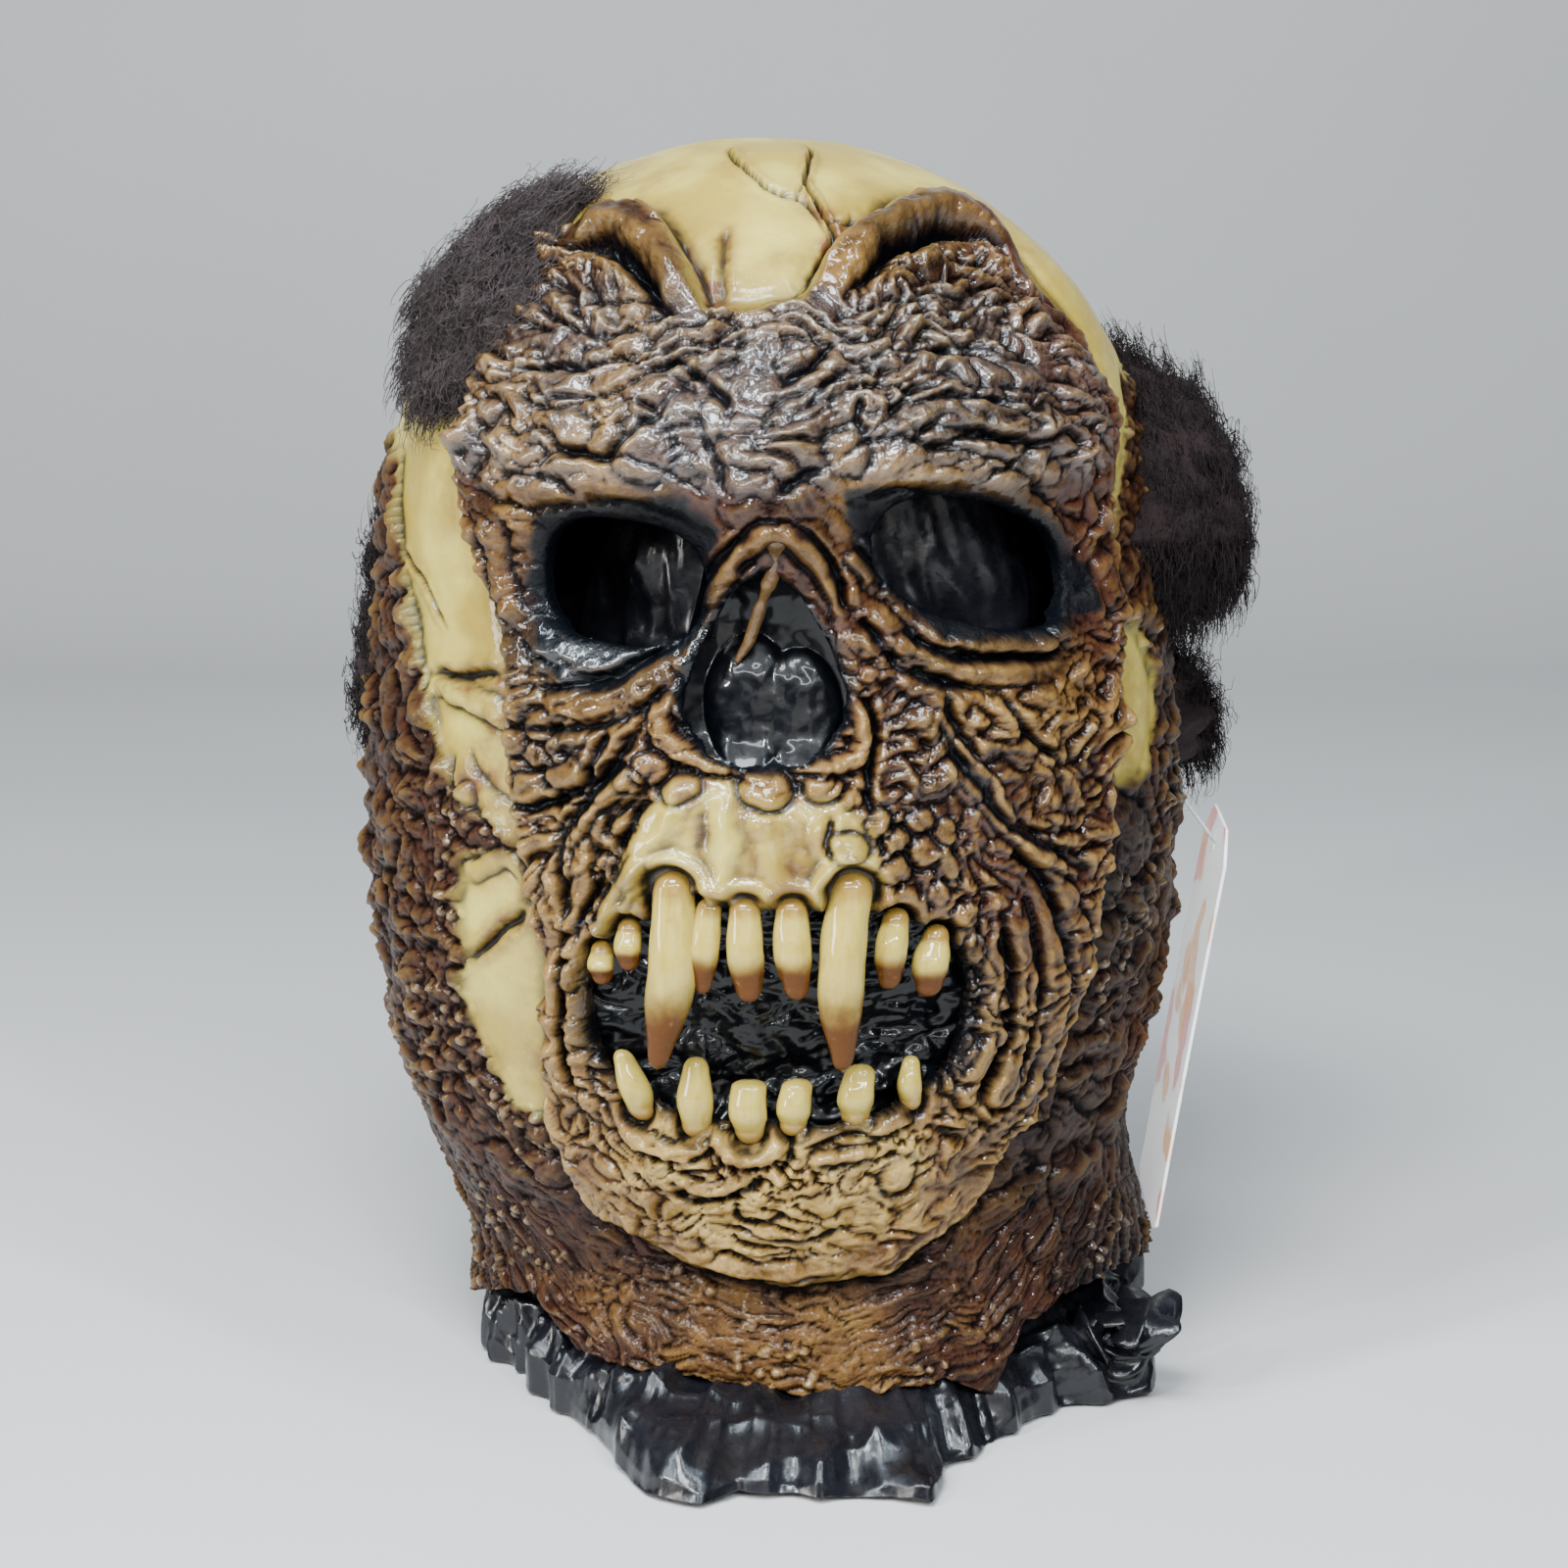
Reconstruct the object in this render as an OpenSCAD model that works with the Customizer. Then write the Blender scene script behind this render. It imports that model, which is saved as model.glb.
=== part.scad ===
// Full-head latex ghoul mask, standing on its plastic stuffing bag, with a hang tag.
// Frame: +Z up, the face looks along -Y, the origin is on the floor under the neck opening.

/* [Head] */
// Height of the crown above the floor
crown_z = 352; // [340:1:365]
// Width of the bare skull
skull_w = 216; // [208:1:222]
// Length of the bare skull from forehead to back
skull_len = 222; // [214:1:230]
// Thickness of the latex
wall = 3; // [2:0.5:4]

/* [Face] */
// How far the rotten face stands proud of the skull
face_step = 7; // [4:0.5:9]
// Width of the face
face_w = 174; // [164:1:180]
// Depth of the eye sockets
socket_depth = 11; // [6:0.5:13]
// How far the brow and the upper jaw stand out
relief_gain = 1; // [0.6:0.1:1.2]

/* [Teeth] */
// Scale of every tooth's thickness
tooth_fat = 1; // [0.8:0.05:1.15]
// Length of the two long fangs, from the gum to the tip
fang_len = 44; // [40:1:48]

/* [Hair] */
// Scale of the hair tufts' thickness
hair_puff = 1; // [0.6:0.1:1.1]

/* [Hang tag] */
// Width of the card
tag_w = 52; // [44:1:56]
// Height of the card
tag_h = 118; // [100:1:122]
// Thickness of the folded card
tag_t = 1; // [0.6:0.1:1.2]
// Radius of the punched hole
tag_hole_r = 2; // [1.6:0.1:2.5]

/* [Stuffing bag] */
// Thickness of the bag's stiffened wall
bag_wall = 2; // [1.5:0.5:3]
// How far the crumpled mouth of the bag spreads past the neck
bag_spread = 34; // [26:1:38]

/* [Hidden] */

bone_col = "#c79a4b";
flesh_col = "#6e4424";
hair_col = "#2a1a16";
black_col = "#141416";

// The skull, the jaw with the side flesh, and the neck: [centre, radii] of ellipsoids
skull_mid_z = 245;
skull = [[-4, 12, skull_mid_z], [skull_w / 2, skull_len / 2, crown_z - skull_mid_z - 1]];
jaw = [[-2, 5, 160], [115, 105, 184]];
neck = [[10, 2, 0], [100, 96, 140]];
blend_r = 10;

// The surface is measured along rays from an upright axis, and above the skull's middle
// along rays that tilt upward, so v is a height up to skull_mid_z and then an angle past it
axis_xy = [0, 8];
top_v = skull_mid_z + 90;

// Lower edge of the neck, by angle round the axis: -90 is the front, 0 is the wearer's left
hem_points = [
  [-180, 13], [-172, 14], [-151, 26], [-139, 31], [-131, 25], [-126, 20], [-108, 20], [-92, 18],
  [-83, 15], [-74, 18], [-65, 19], [-57, 12], [-54, 21], [-50, 30], [-42, 34], [-31, 35],
  [-21, 33], [-6, 28], [10, 24], [40, 16], [90, 13], [150, 15], [180, 13]
];

// Face outline, a rounded box seen from the front
face_mid = [8, 188];
face_half = [face_w / 2, 132];
face_power = 3.2;

skin_sectors = 52;
skin_rows = 26;
dome_rows = 9;

// Openings, seen from the front
eye_left_mid = [-35.5, 239.5];
eye_left_half = [17.5, 15.5];
eye_right_mid = [49.5, 245];
eye_right_half = [25, 16.5];
mouth_mid = [2, 126];
mouth_half = [52, 31];

// Hang tag: the filament leaves the skin at tack_root and meets the card at tack_hole
tack_root = [112.6, -9, 169];
tack_hole = [126, -9, 151];
tag_lean = 9;
filament_r = 0.5;

function clamp01(x) = max(0, min(1, x));
function ease(a, b, x) = let (t = clamp01((x - a) / (b - a))) t * t * (3 - 2 * t);
function bump(x, z, at, size) = exp(-pow((x - at[0]) / size[0], 2) - pow((z - at[1]) / size[1], 2));
function soft_max(a, b, k) = let (h = max(k - abs(a - b), 0) / k) max(a, b) + h * h * k / 4;

// Distance along a ray to the far side of an ellipsoid
function reach(from, dir, body) =
  let (
    p = [for (i = [0:2]) (from[i] - body[0][i]) / body[1][i]],
    q = [for (i = [0:2]) dir[i] / body[1][i]],
    a = q * q,
    b = p * q,
    disc = b * b - a * (p * p - 1)
  )
  disc > 0 ? max(0, (sqrt(disc) - b) / a) : 0;

// 0 at the middle of the face outline, 1 on it
function face_level(x, z) =
  pow(abs(x - face_mid[0]) / face_half[0], face_power) + pow(abs(z - face_mid[1]) / face_half[1], face_power);

// Broad relief of the face, added along the ray
function face_relief(x, z) =
  face_step * (1 - ease(0.86, 1.12, face_level(x, z)))
  + relief_gain * (
      5 * bump(x, z, [-38, 274], [34, 12])
      + 5 * bump(x, z, [46, 278], [36, 12])
      + 8 * bump(x, z, [-1, 258], [13, 18])
      + 7 * bump(x, z, [-2, 172], [40, 26])
      + 4 * bump(x, z, [0, 140], [64, 40])
      + 4 * bump(x, z, [-52, 205], [24, 20])
      + 4 * bump(x, z, [60, 205], [24, 22])
      + 8 * bump(x, z, [2, 80], [38, 20])
    )
  - socket_depth * bump(x, z, eye_left_mid, [27, 18])
  - socket_depth * bump(x, z, eye_right_mid, [32, 19])
  - 4 * bump(x, z, [4, 42], [80, 14]);

// A point at angle phi and height or tilt v, off millimetres outside the skin
function on_skin(phi, v, off = 0) =
  let (
    from = [axis_xy[0], axis_xy[1], min(v, skull_mid_z)],
    tilt = max(0, v - skull_mid_z),
    dir = [cos(phi) * cos(tilt), sin(phi) * cos(tilt), sin(tilt)],
    plain = soft_max(
      soft_max(reach(from, dir, skull), reach(from, dir, jaw), blend_r),
      reach(from, dir, neck), blend_r
    ),
    p = from + plain * dir,
    facing = ease(0.2, 0.5, -dir[1])
  )
  from + (plain + facing * face_relief(p[0], p[2]) + off) * dir;

// The point of the face at x and z seen from the front
function on_face(x, z, off = 0) =
  let (
    a = on_skin(atan2(-108, x), z),
    b = on_skin(atan2(a[1] - axis_xy[1], x), z),
    c = on_skin(atan2(b[1] - axis_xy[1], x), z)
  )
  on_skin(atan2(c[1] - axis_xy[1], x), z, off);

// Sectors are closer together at the face than at the back
function sector_angle(s, count) = -90 + 360 * s / count - 22 * sin(360 * s / count);
function hem_at(phi) = lookup(phi > 180 ? phi - 360 : phi, hem_points);

// Closed shell from an outer and an inner set of rings, each ending in one top point
module dome_solid(outer, inner, outer_top, inner_top) {
  rings = len(outer);
  count = len(outer[0]);
  second = rings * count + 1;
  function near(i, j) = i * count + j % count;
  function far(i, j) = second + i * count + j % count;
  polyhedron(
    points = concat([for (r = outer) each r], [outer_top], [for (r = inner) each r], [inner_top]),
    faces = concat(
      [for (i = [0:rings - 2], j = [0:count - 1], k = [0:3])
        k == 0 ? [near(i, j), near(i + 1, j), near(i + 1, j + 1)]
        : k == 1 ? [near(i, j), near(i + 1, j + 1), near(i, j + 1)]
        : k == 2 ? [far(i, j), far(i + 1, j + 1), far(i + 1, j)]
        : [far(i, j), far(i, j + 1), far(i + 1, j + 1)]],
      [for (j = [0:count - 1], k = [0:3])
        k == 0 ? [near(rings - 1, j), rings * count, near(rings - 1, j + 1)]
        : k == 1 ? [far(rings - 1, j), far(rings - 1, j + 1), second + rings * count]
        : k == 2 ? [near(0, j), near(0, j + 1), far(0, j + 1)]
        : [near(0, j), far(0, j + 1), far(0, j)]]
    ),
    convexity = 8
  );
}

// Closed panel from an outer and an inner grid of points of the same size
module panel_solid(outer, inner) {
  rows = len(outer);
  cols = len(outer[0]);
  function near(i, j) = i * cols + j;
  function far(i, j) = (rows + i) * cols + j;
  polyhedron(
    points = concat([for (r = outer) each r], [for (r = inner) each r]),
    faces = concat(
      [for (i = [0:rows - 2], j = [0:cols - 2], k = [0:3])
        k == 0 ? [near(i, j), near(i + 1, j), near(i + 1, j + 1)]
        : k == 1 ? [near(i, j), near(i + 1, j + 1), near(i, j + 1)]
        : k == 2 ? [far(i, j), far(i + 1, j + 1), far(i + 1, j)]
        : [far(i, j), far(i, j + 1), far(i + 1, j + 1)]],
      [for (j = [0:cols - 2], k = [0:3])
        k == 0 ? [near(0, j), near(0, j + 1), far(0, j + 1)]
        : k == 1 ? [near(0, j), far(0, j + 1), far(0, j)]
        : k == 2 ? [near(rows - 1, j + 1), near(rows - 1, j), far(rows - 1, j)]
        : [near(rows - 1, j + 1), far(rows - 1, j), far(rows - 1, j + 1)]],
      [for (i = [0:rows - 2], k = [0:3])
        k == 0 ? [near(i + 1, 0), near(i, 0), far(i, 0)]
        : k == 1 ? [near(i + 1, 0), far(i, 0), far(i + 1, 0)]
        : k == 2 ? [near(i, cols - 1), near(i + 1, cols - 1), far(i + 1, cols - 1)]
        : [near(i, cols - 1), far(i + 1, cols - 1), far(i, cols - 1)]]
    ),
    convexity = 6
  );
}

// Latex: one thin casting, open at the neck, the eyes, the nose and the mouth
function skin_ring(i, off) = [
  for (s = [0:skin_sectors - 1])
    let (
      phi = sector_angle(s, skin_sectors),
      low = hem_at(phi),
      v = i <= skin_rows
        ? low + (skull_mid_z - low) * i / skin_rows
        : skull_mid_z + 84 * (i - skin_rows) / dome_rows
    )
    on_skin(phi, v, off)
];

module front_cut(at, size, turn = 0) {
  translate([at[0], -56, at[1]])
    rotate([90, 0, 0])
      rotate(turn)
        scale([size[0], size[1], 1])
          cylinder(h = 90, r = 1, $fn = 28);
}

module nose_cut() {
  translate([0, -85, 0])
    rotate([90, 0, 0])
      linear_extrude(60)
        hull() {
          translate([0, 237]) circle(r = 7, $fn = 20);
          translate([-10, 209]) circle(r = 12, $fn = 20);
          translate([11, 209]) circle(r = 12, $fn = 20);
        }
}

module latex_skin() {
  color(flesh_col)
    resize([0, 0, 0])
      difference() {
        dome_solid(
          [for (i = [0:skin_rows + dome_rows]) skin_ring(i, 0)],
          [for (i = [0:skin_rows + dome_rows]) skin_ring(i, -wall)],
          on_skin(0, top_v, 0), on_skin(0, top_v, -wall)
        );
        front_cut(eye_left_mid, eye_left_half, -6);
        front_cut(eye_right_mid, eye_right_half, -14);
        front_cut(mouth_mid, mouth_half);
        nose_cut();
      }
}

// Backing panels: dished inward at the middle, glued to the skin's inner face at the rim,
// and narrower at the top by taper
module backing(phi_mid, phi_half, v_mid, v_half, dish, thick, taper = 0) {
  n = 12;
  function at(i, j, depth) =
    let (a = 2 * i / n - 1, b = 2 * j / n - 1, fall = (1 - a * a) * (1 - b * b))
    on_skin(phi_mid + phi_half * (1 - taper * a) * b, v_mid + v_half * a, -wall - dish * fall - depth);
  color(black_col)
    panel_solid(
      [for (i = [0:n]) [for (j = [0:n]) at(i, j, -0.2)]],
      [for (i = [0:n]) [for (j = [0:n]) at(i, j, thick)]]
    );
}

module mouth_lining() backing(-89, 34, 126, 42, 7, 1.5);
module nasal_lining() backing(-90, 12, 218, 30, 10, 1.5, 0.3);

// One tooth: rounded at the root, fullest at its middle, blunt at the tip
module tooth(root, tip, root_r, mid_r, tip_r, bow = 1.5) {
  middle = (root + tip) / 2 + [0, -bow, 0];
  color(bone_col)
    hull() {
      translate(root) sphere(r = root_r * tooth_fat, $fn = 14);
      translate(middle) sphere(r = mid_r * tooth_fat, $fn = 14);
      translate(tip) sphere(r = tip_r * tooth_fat, $fn = 12);
    }
}

// Upper teeth hang from the jaw's edge and lean by step_x to the tip
module upper_tooth(x, z, length, step_x, root_r, mid_r, tip_r) {
  root = on_face(x, z, -2.5);
  tooth(root, root + [step_x, -1.5, -length], root_r, mid_r, tip_r);
}

module lower_tooth(x, z, length, step_x, root_r, mid_r, tip_r) {
  root = on_face(x, z, -3);
  tooth(root, root + [step_x, -0.5, length], root_r, mid_r, tip_r, 1);
}

module upper_fang_left() upper_tooth(-28, 162, fang_len, -4, 6, 6.3, 2.6);
module upper_fang_right() upper_tooth(19, 162, fang_len, -2, 6, 6.3, 2.6);
module upper_incisor_left() upper_tooth(-18.5, 157, 19, -1.5, 3.7, 3.9, 2.2);
module upper_incisor_centre() upper_tooth(-9, 157, 20, 1, 4.6, 5, 3.3);
module upper_incisor_right() upper_tooth(3.5, 157, 19.5, 1, 4.5, 4.9, 3.2);
module upper_cheek_tooth_right_front() upper_tooth(31, 153, 15, -1.5, 3.8, 4.4, 3);
module upper_cheek_tooth_right_back() upper_tooth(41.5, 147, 12, -1.5, 4, 5, 3.6);
module upper_cheek_tooth_left_front() upper_tooth(-40, 150, 8, 0, 3.5, 3.7, 2.8);
module upper_cheek_tooth_left_back() upper_tooth(-47.5, 143, 6, 0, 3.3, 3.5, 2.6);
module lower_canine_left() lower_tooth(-38, 99, 13, -4, 4, 4.4, 2.8);
module lower_incisor_left() lower_tooth(-22.5, 96, 15, 0, 4.4, 4.8, 3.4);
module lower_incisor_centre() lower_tooth(-8, 95, 12, 0, 4.4, 5.2, 4.6);
module lower_incisor_right() lower_tooth(4, 97, 10, 1, 4, 4.6, 4);
module lower_canine_right() lower_tooth(21, 99, 10, 1, 4.4, 5, 4.2);
module lower_cheek_tooth_right() lower_tooth(36, 101, 10, 0, 3.2, 3.4, 2.4);

// Hair tufts: rounded patches of crepe hair glued to the skin
module tuft(phi_mid, phi_half, v_mid, v_half, thick, n = 8, m = 10) {
  function puff(a, b) = (1 - pow(abs(a), 3)) * (1 - pow(abs(b), 3)) * (1 + 0.1 * sin(400 * a + 90) * cos(500 * b));
  function at(i, j, gain) =
    let (a = 2 * i / n - 1, b = 2 * j / m - 1)
    on_skin(phi_mid + phi_half * b * sqrt(1 - 0.8 * a * a), v_mid + v_half * a, gain > 0 ? 1 + gain * puff(a, b) : -0.5);
  color(hair_col)
    panel_solid(
      [for (i = [0:n]) [for (j = [0:m]) at(i, j, thick * hair_puff)]],
      [for (i = [0:n]) [for (j = [0:m]) at(i, j, 0)]]
    );
}

module hair_crown_left() tuft(-150, 24, skull_mid_z + 42, 22, 14);
module hair_temple_left() tuft(172, 14, 208, 42, 9);
module hair_right_upper() tuft(16, 36, 239, 31, 36);
module hair_right_lower() tuft(22, 20, 181, 24, 29);
module hair_back() tuft(106, 50, 205, 62, 15, 8, 14);

// The tag's nylon filament, with the small cross bar that holds the card
module tag_filament() {
  run = tack_hole - tack_root;
  length = norm(run);
  bar_off = 3;
  color("gainsboro") {
    translate(tack_root)
      rotate([0, atan2(run[0], run[2]), 0])
        cylinder(h = length + bar_off, r = filament_r, $fn = 16);
    translate(tack_root + run * (1 + bar_off / length))
      rotate([90, 0, 0])
        cylinder(h = 9, r = 0.9, center = true, $fn = 16);
  }
}

module tag_card() {
  clip = 9;
  hole_drop = 8;
  color("whitesmoke")
    translate(tack_hole)
      rotate([0, tag_lean, 0])
        rotate([90, 0, 90])
          translate([0, 0, -tag_t / 2])
            linear_extrude(tag_t)
              difference() {
                polygon([
                  [-tag_w / 2, hole_drop - clip], [-tag_w / 2 + clip, hole_drop],
                  [tag_w / 2 - clip, hole_drop], [tag_w / 2, hole_drop - clip],
                  [tag_w / 2, hole_drop - tag_h], [-tag_w / 2, hole_drop - tag_h]
                ]);
                circle(r = tag_hole_r, $fn = 32);
              }
}

// Stuffing bag: a dome inside the head, with its crumpled mouth spread on the floor
bag_mid = [5, 2];
bag_half = [84, 78];
bag_top = 322;
bag_shoulder = 225;
bag_sectors = 40;

function bag_radius(phi) =
  1 / pow(pow(abs(cos(phi)) / bag_half[0], 2.2) + pow(abs(sin(phi)) / bag_half[1], 2.2), 1 / 2.2);
function bag_crumple(phi) = 0.82 + 0.14 * sin(5 * phi + 150) + 0.08 * sin(9 * phi + 40);
function bag_front(phi) = 0.55 + 0.8 * ease(0.35, 0.95, -sin(phi));
function bag_point(phi, r, z) = [bag_mid[0] + r * cos(phi), bag_mid[1] + r * sin(phi), z];

// Rings of the bag: the spread mouth as [share of the spread, height], then the wall, then the dome
bag_mouth_rows = [[0.9, 0], [1, 4], [0.85, 8], [0.25, 12], [0, 18]];
bag_wall_rows = [40, 90, 140, 190, bag_shoulder];
bag_dome_tilts = [15, 30, 45, 60, 75];

function bag_ring(k, inset) = [
  for (s = [0:bag_sectors - 1])
    let (phi = 360 * s / bag_sectors, r = bag_radius(phi) - inset)
    bag_point(phi, r * cos(bag_dome_tilts[k]),
              bag_shoulder + (bag_top - inset - bag_shoulder) * sin(bag_dome_tilts[k]))
];

module stuffing_bag() {
  spread = [
    for (row = bag_mouth_rows) [
      for (s = [0:bag_sectors - 1])
        let (
          phi = 360 * s / bag_sectors,
          out = bag_spread * bag_crumple(phi) * bag_front(phi)
        )
        bag_point(phi, bag_radius(phi) + out * row[0], row[1])
    ]
  ];
  foot = [
    for (row = bag_mouth_rows) [
      for (s = [0:bag_sectors - 1])
        let (phi = 360 * s / bag_sectors)
        bag_point(phi, bag_radius(phi) - bag_wall, row[1])
    ]
  ];
  function wall_ring(z, inset) = [
    for (s = [0:bag_sectors - 1])
      let (phi = 360 * s / bag_sectors)
      bag_point(phi, bag_radius(phi) - inset, z)
  ];
  color(black_col)
    dome_solid(
      concat(spread, [for (z = bag_wall_rows) wall_ring(z, 0)], [for (k = [0:4]) bag_ring(k, 0)]),
      concat(foot, [for (z = bag_wall_rows) wall_ring(z, bag_wall)], [for (k = [0:4]) bag_ring(k, bag_wall)]),
      [bag_mid[0], bag_mid[1], bag_top], [bag_mid[0], bag_mid[1], bag_top - bag_wall]
    );
}

latex_skin();
mouth_lining();
nasal_lining();
upper_fang_left();
upper_fang_right();
upper_incisor_left();
upper_incisor_centre();
upper_incisor_right();
upper_cheek_tooth_right_front();
upper_cheek_tooth_right_back();
upper_cheek_tooth_left_front();
upper_cheek_tooth_left_back();
lower_canine_left();
lower_incisor_left();
lower_incisor_centre();
lower_incisor_right();
lower_canine_right();
lower_cheek_tooth_right();
hair_crown_left();
hair_temple_left();
hair_right_upper();
hair_right_lower();
hair_back();
tag_filament();
tag_card();
stuffing_bag();
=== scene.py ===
import itertools
import math

import bpy
import numpy as np
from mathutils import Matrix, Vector


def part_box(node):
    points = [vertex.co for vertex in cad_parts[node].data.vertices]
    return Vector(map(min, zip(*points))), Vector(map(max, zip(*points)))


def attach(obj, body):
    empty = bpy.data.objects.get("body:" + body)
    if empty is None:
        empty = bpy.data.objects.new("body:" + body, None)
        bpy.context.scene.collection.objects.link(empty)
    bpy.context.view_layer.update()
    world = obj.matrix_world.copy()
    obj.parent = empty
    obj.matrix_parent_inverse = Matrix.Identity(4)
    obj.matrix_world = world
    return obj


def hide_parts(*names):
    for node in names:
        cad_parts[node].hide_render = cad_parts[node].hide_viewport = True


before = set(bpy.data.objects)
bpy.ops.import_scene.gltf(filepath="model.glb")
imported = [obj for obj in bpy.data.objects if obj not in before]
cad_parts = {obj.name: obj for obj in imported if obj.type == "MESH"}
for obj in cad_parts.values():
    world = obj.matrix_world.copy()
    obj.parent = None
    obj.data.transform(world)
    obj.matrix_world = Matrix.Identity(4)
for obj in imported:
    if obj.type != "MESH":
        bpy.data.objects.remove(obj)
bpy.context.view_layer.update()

MM = 0.001

# ---------------------------------------------------------------------------
# The smooth head, in millimetres, the same surface as the CAD skin.
# It is measured along rays from an upright axis; above SKULL_Z the rays tilt up.
# ---------------------------------------------------------------------------
SKULL_Z = 245.0
SKULL = ((-4, 12, SKULL_Z), (108, 111, 106))
JAW = ((-2, 5, 160), (115, 105, 184))
NECK = ((10, 2, 0), (100, 96, 140))
AXIS_XY = (0.0, 8.0)
WALL = 3.0
# How far the face stands forward of the head
SLAB_RISE = 7.0

# The skin's own map: a is millimetres round the head from the face's middle, positive
# towards the wearer's left, and w is millimetres up it. DEG is the arc of one degree.
DEG = 1.92
BACK = 180 * DEG
TOP_W = SKULL_Z + 90 * DEG

HEM = [
    (-180, 13), (-172, 14), (-151, 26), (-139, 31), (-131, 25), (-126, 20), (-108, 20),
    (-92, 18), (-83, 15), (-74, 18), (-65, 19), (-57, 12), (-54, 21), (-50, 30), (-42, 34),
    (-31, 35), (-21, 33), (-6, 28), (10, 24), (40, 16), (90, 13), (150, 15), (180, 13),
]


def ease(a, b, x):
    t = np.clip((x - a) / (b - a), 0, 1)
    return t * t * (3 - 2 * t)


def bell(x, y, at, size):
    return np.exp(-(((x - at[0]) / size[0]) ** 2) - ((y - at[1]) / size[1]) ** 2)


def soft_max(a, b, k):
    h = np.clip(k - np.abs(a - b), 0, None) / k
    return np.maximum(a, b) + h * h * k / 4


def reach(start, way, body):
    """Distance along a ray to the far side of an ellipsoid."""
    centre, radii = np.array(body[0], float), np.array(body[1], float)
    p, q = (start - centre) / radii, way / radii
    a, b, c = (q * q).sum(-1), (p * q).sum(-1), (p * p).sum(-1) - 1
    disc = b * b - a * c
    far = (np.sqrt(np.maximum(disc, 0)) - b) / a
    return np.where(disc > 0, np.maximum(far, 0), 0)


def spots(x, y, rows):
    """The sum of soft round spots: the strength, middle and half size of each."""
    return sum(strength * bell(x, y, at, size) for strength, at, size in rows)


# The face's large forms: height, middle (x, z) and half size
RELIEF = [
    # brows, bridge, jaws, cheeks and chin
    (5, (-38, 274), (34, 12)), (5, (46, 278), (36, 12)), (8, (-1, 258), (13, 18)), (7, (-2, 172), (40, 26)),
    (4, (0, 140), (64, 40)), (4, (-52, 205), (24, 20)), (4, (60, 205), (24, 22)), (8, (2, 80), (38, 20)),
    # eye sockets, and the hollow under the chin
    (-11, (-35.5, 239.5), (27, 18)), (-11, (49.5, 245), (32, 19)), (-4, (4, 42), (80, 14)),
]


def slab(x, z):
    """0 outside the face's rounded outline, 1 inside it."""
    level = (np.abs(x - 8) / 87) ** 3.2 + (np.abs(z - 188) / 132) ** 3.2
    return 1 - ease(0.86, 1.12, level)


def rays(phi, v):
    """Start, direction and plain length of the rays at angle phi and height or tilt v."""
    turn = np.radians(phi)
    tilt = np.radians(np.maximum(0, v - SKULL_Z))
    start = np.stack(
        [np.full_like(turn, AXIS_XY[0]), np.full_like(turn, AXIS_XY[1]), np.minimum(v, SKULL_Z)], -1
    )
    way = np.stack([np.cos(turn) * np.cos(tilt), np.sin(turn) * np.cos(tilt), np.sin(tilt)], -1)
    plain = soft_max(reach(start, way, SKULL), reach(start, way, JAW), 10)
    return start, way, soft_max(plain, reach(start, way, NECK), 10)


def head_rays(a, w):
    """Ray starts, directions, lengths to the head without the face's slab, and the slab's share."""
    v = np.where(w > SKULL_Z, SKULL_Z + (w - SKULL_Z) / DEG, w)
    start, way, plain = rays(a / DEG - 90, v)
    p = start + plain[:, None] * way
    facing = ease(0.2, 0.5, -way[:, 1])
    return start, way, plain + facing * spots(p[:, 0], p[:, 2], RELIEF), facing * slab(p[:, 0], p[:, 2])


def on_skin(phi, v, off):
    """A point off millimetres outside the CAD skin."""
    start, way, plain = rays(phi, v)
    p = start + plain[:, None] * way
    facing = ease(0.2, 0.5, -way[:, 1])
    far = plain + facing * (spots(p[:, 0], p[:, 2], RELIEF) + SLAB_RISE * slab(p[:, 0], p[:, 2])) + off
    return start + far[:, None] * way


def hem_height(a):
    phi = (a / DEG - 90 + 180) % 360 - 180
    return np.interp(phi, [h[0] for h in HEM], [h[1] for h in HEM])


# ---------------------------------------------------------------------------
# Repeatable noise
# ---------------------------------------------------------------------------
def lattice(parts, seed):
    """A repeatable value from 0 to 1 for each whole-number cell."""
    h = np.full(parts[0].shape, (seed * 2654435761 + 97) & 0xFFFFFFFF, np.uint32)
    for part, prime in zip(parts, (73856093, 19349663, 83492791)):
        h ^= part.astype(np.uint32) * np.uint32(prime)
        h = (h ^ (h >> np.uint32(13))) * np.uint32(1274126177)
    return (h ^ (h >> np.uint32(16))).astype(np.float32) * np.float32(1 / 4294967295)


def noise(p, seed):
    """Smooth noise from -1 to 1 at points p, with one lump to a unit."""
    cell = np.floor(p)
    f = (p - cell).astype(np.float32)
    f = f * f * (3 - 2 * f)
    cell = cell.astype(np.int64)
    total = np.zeros(len(p), np.float32)
    for corner in itertools.product((0, 1), repeat=p.shape[1]):
        weight = np.ones(len(p), np.float32)
        for k, c in enumerate(corner):
            weight *= f[:, k] if c else 1 - f[:, k]
        total += weight * lattice([cell[:, k] + c for k, c in enumerate(corner)], seed)
    return total * 2 - 1


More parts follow.
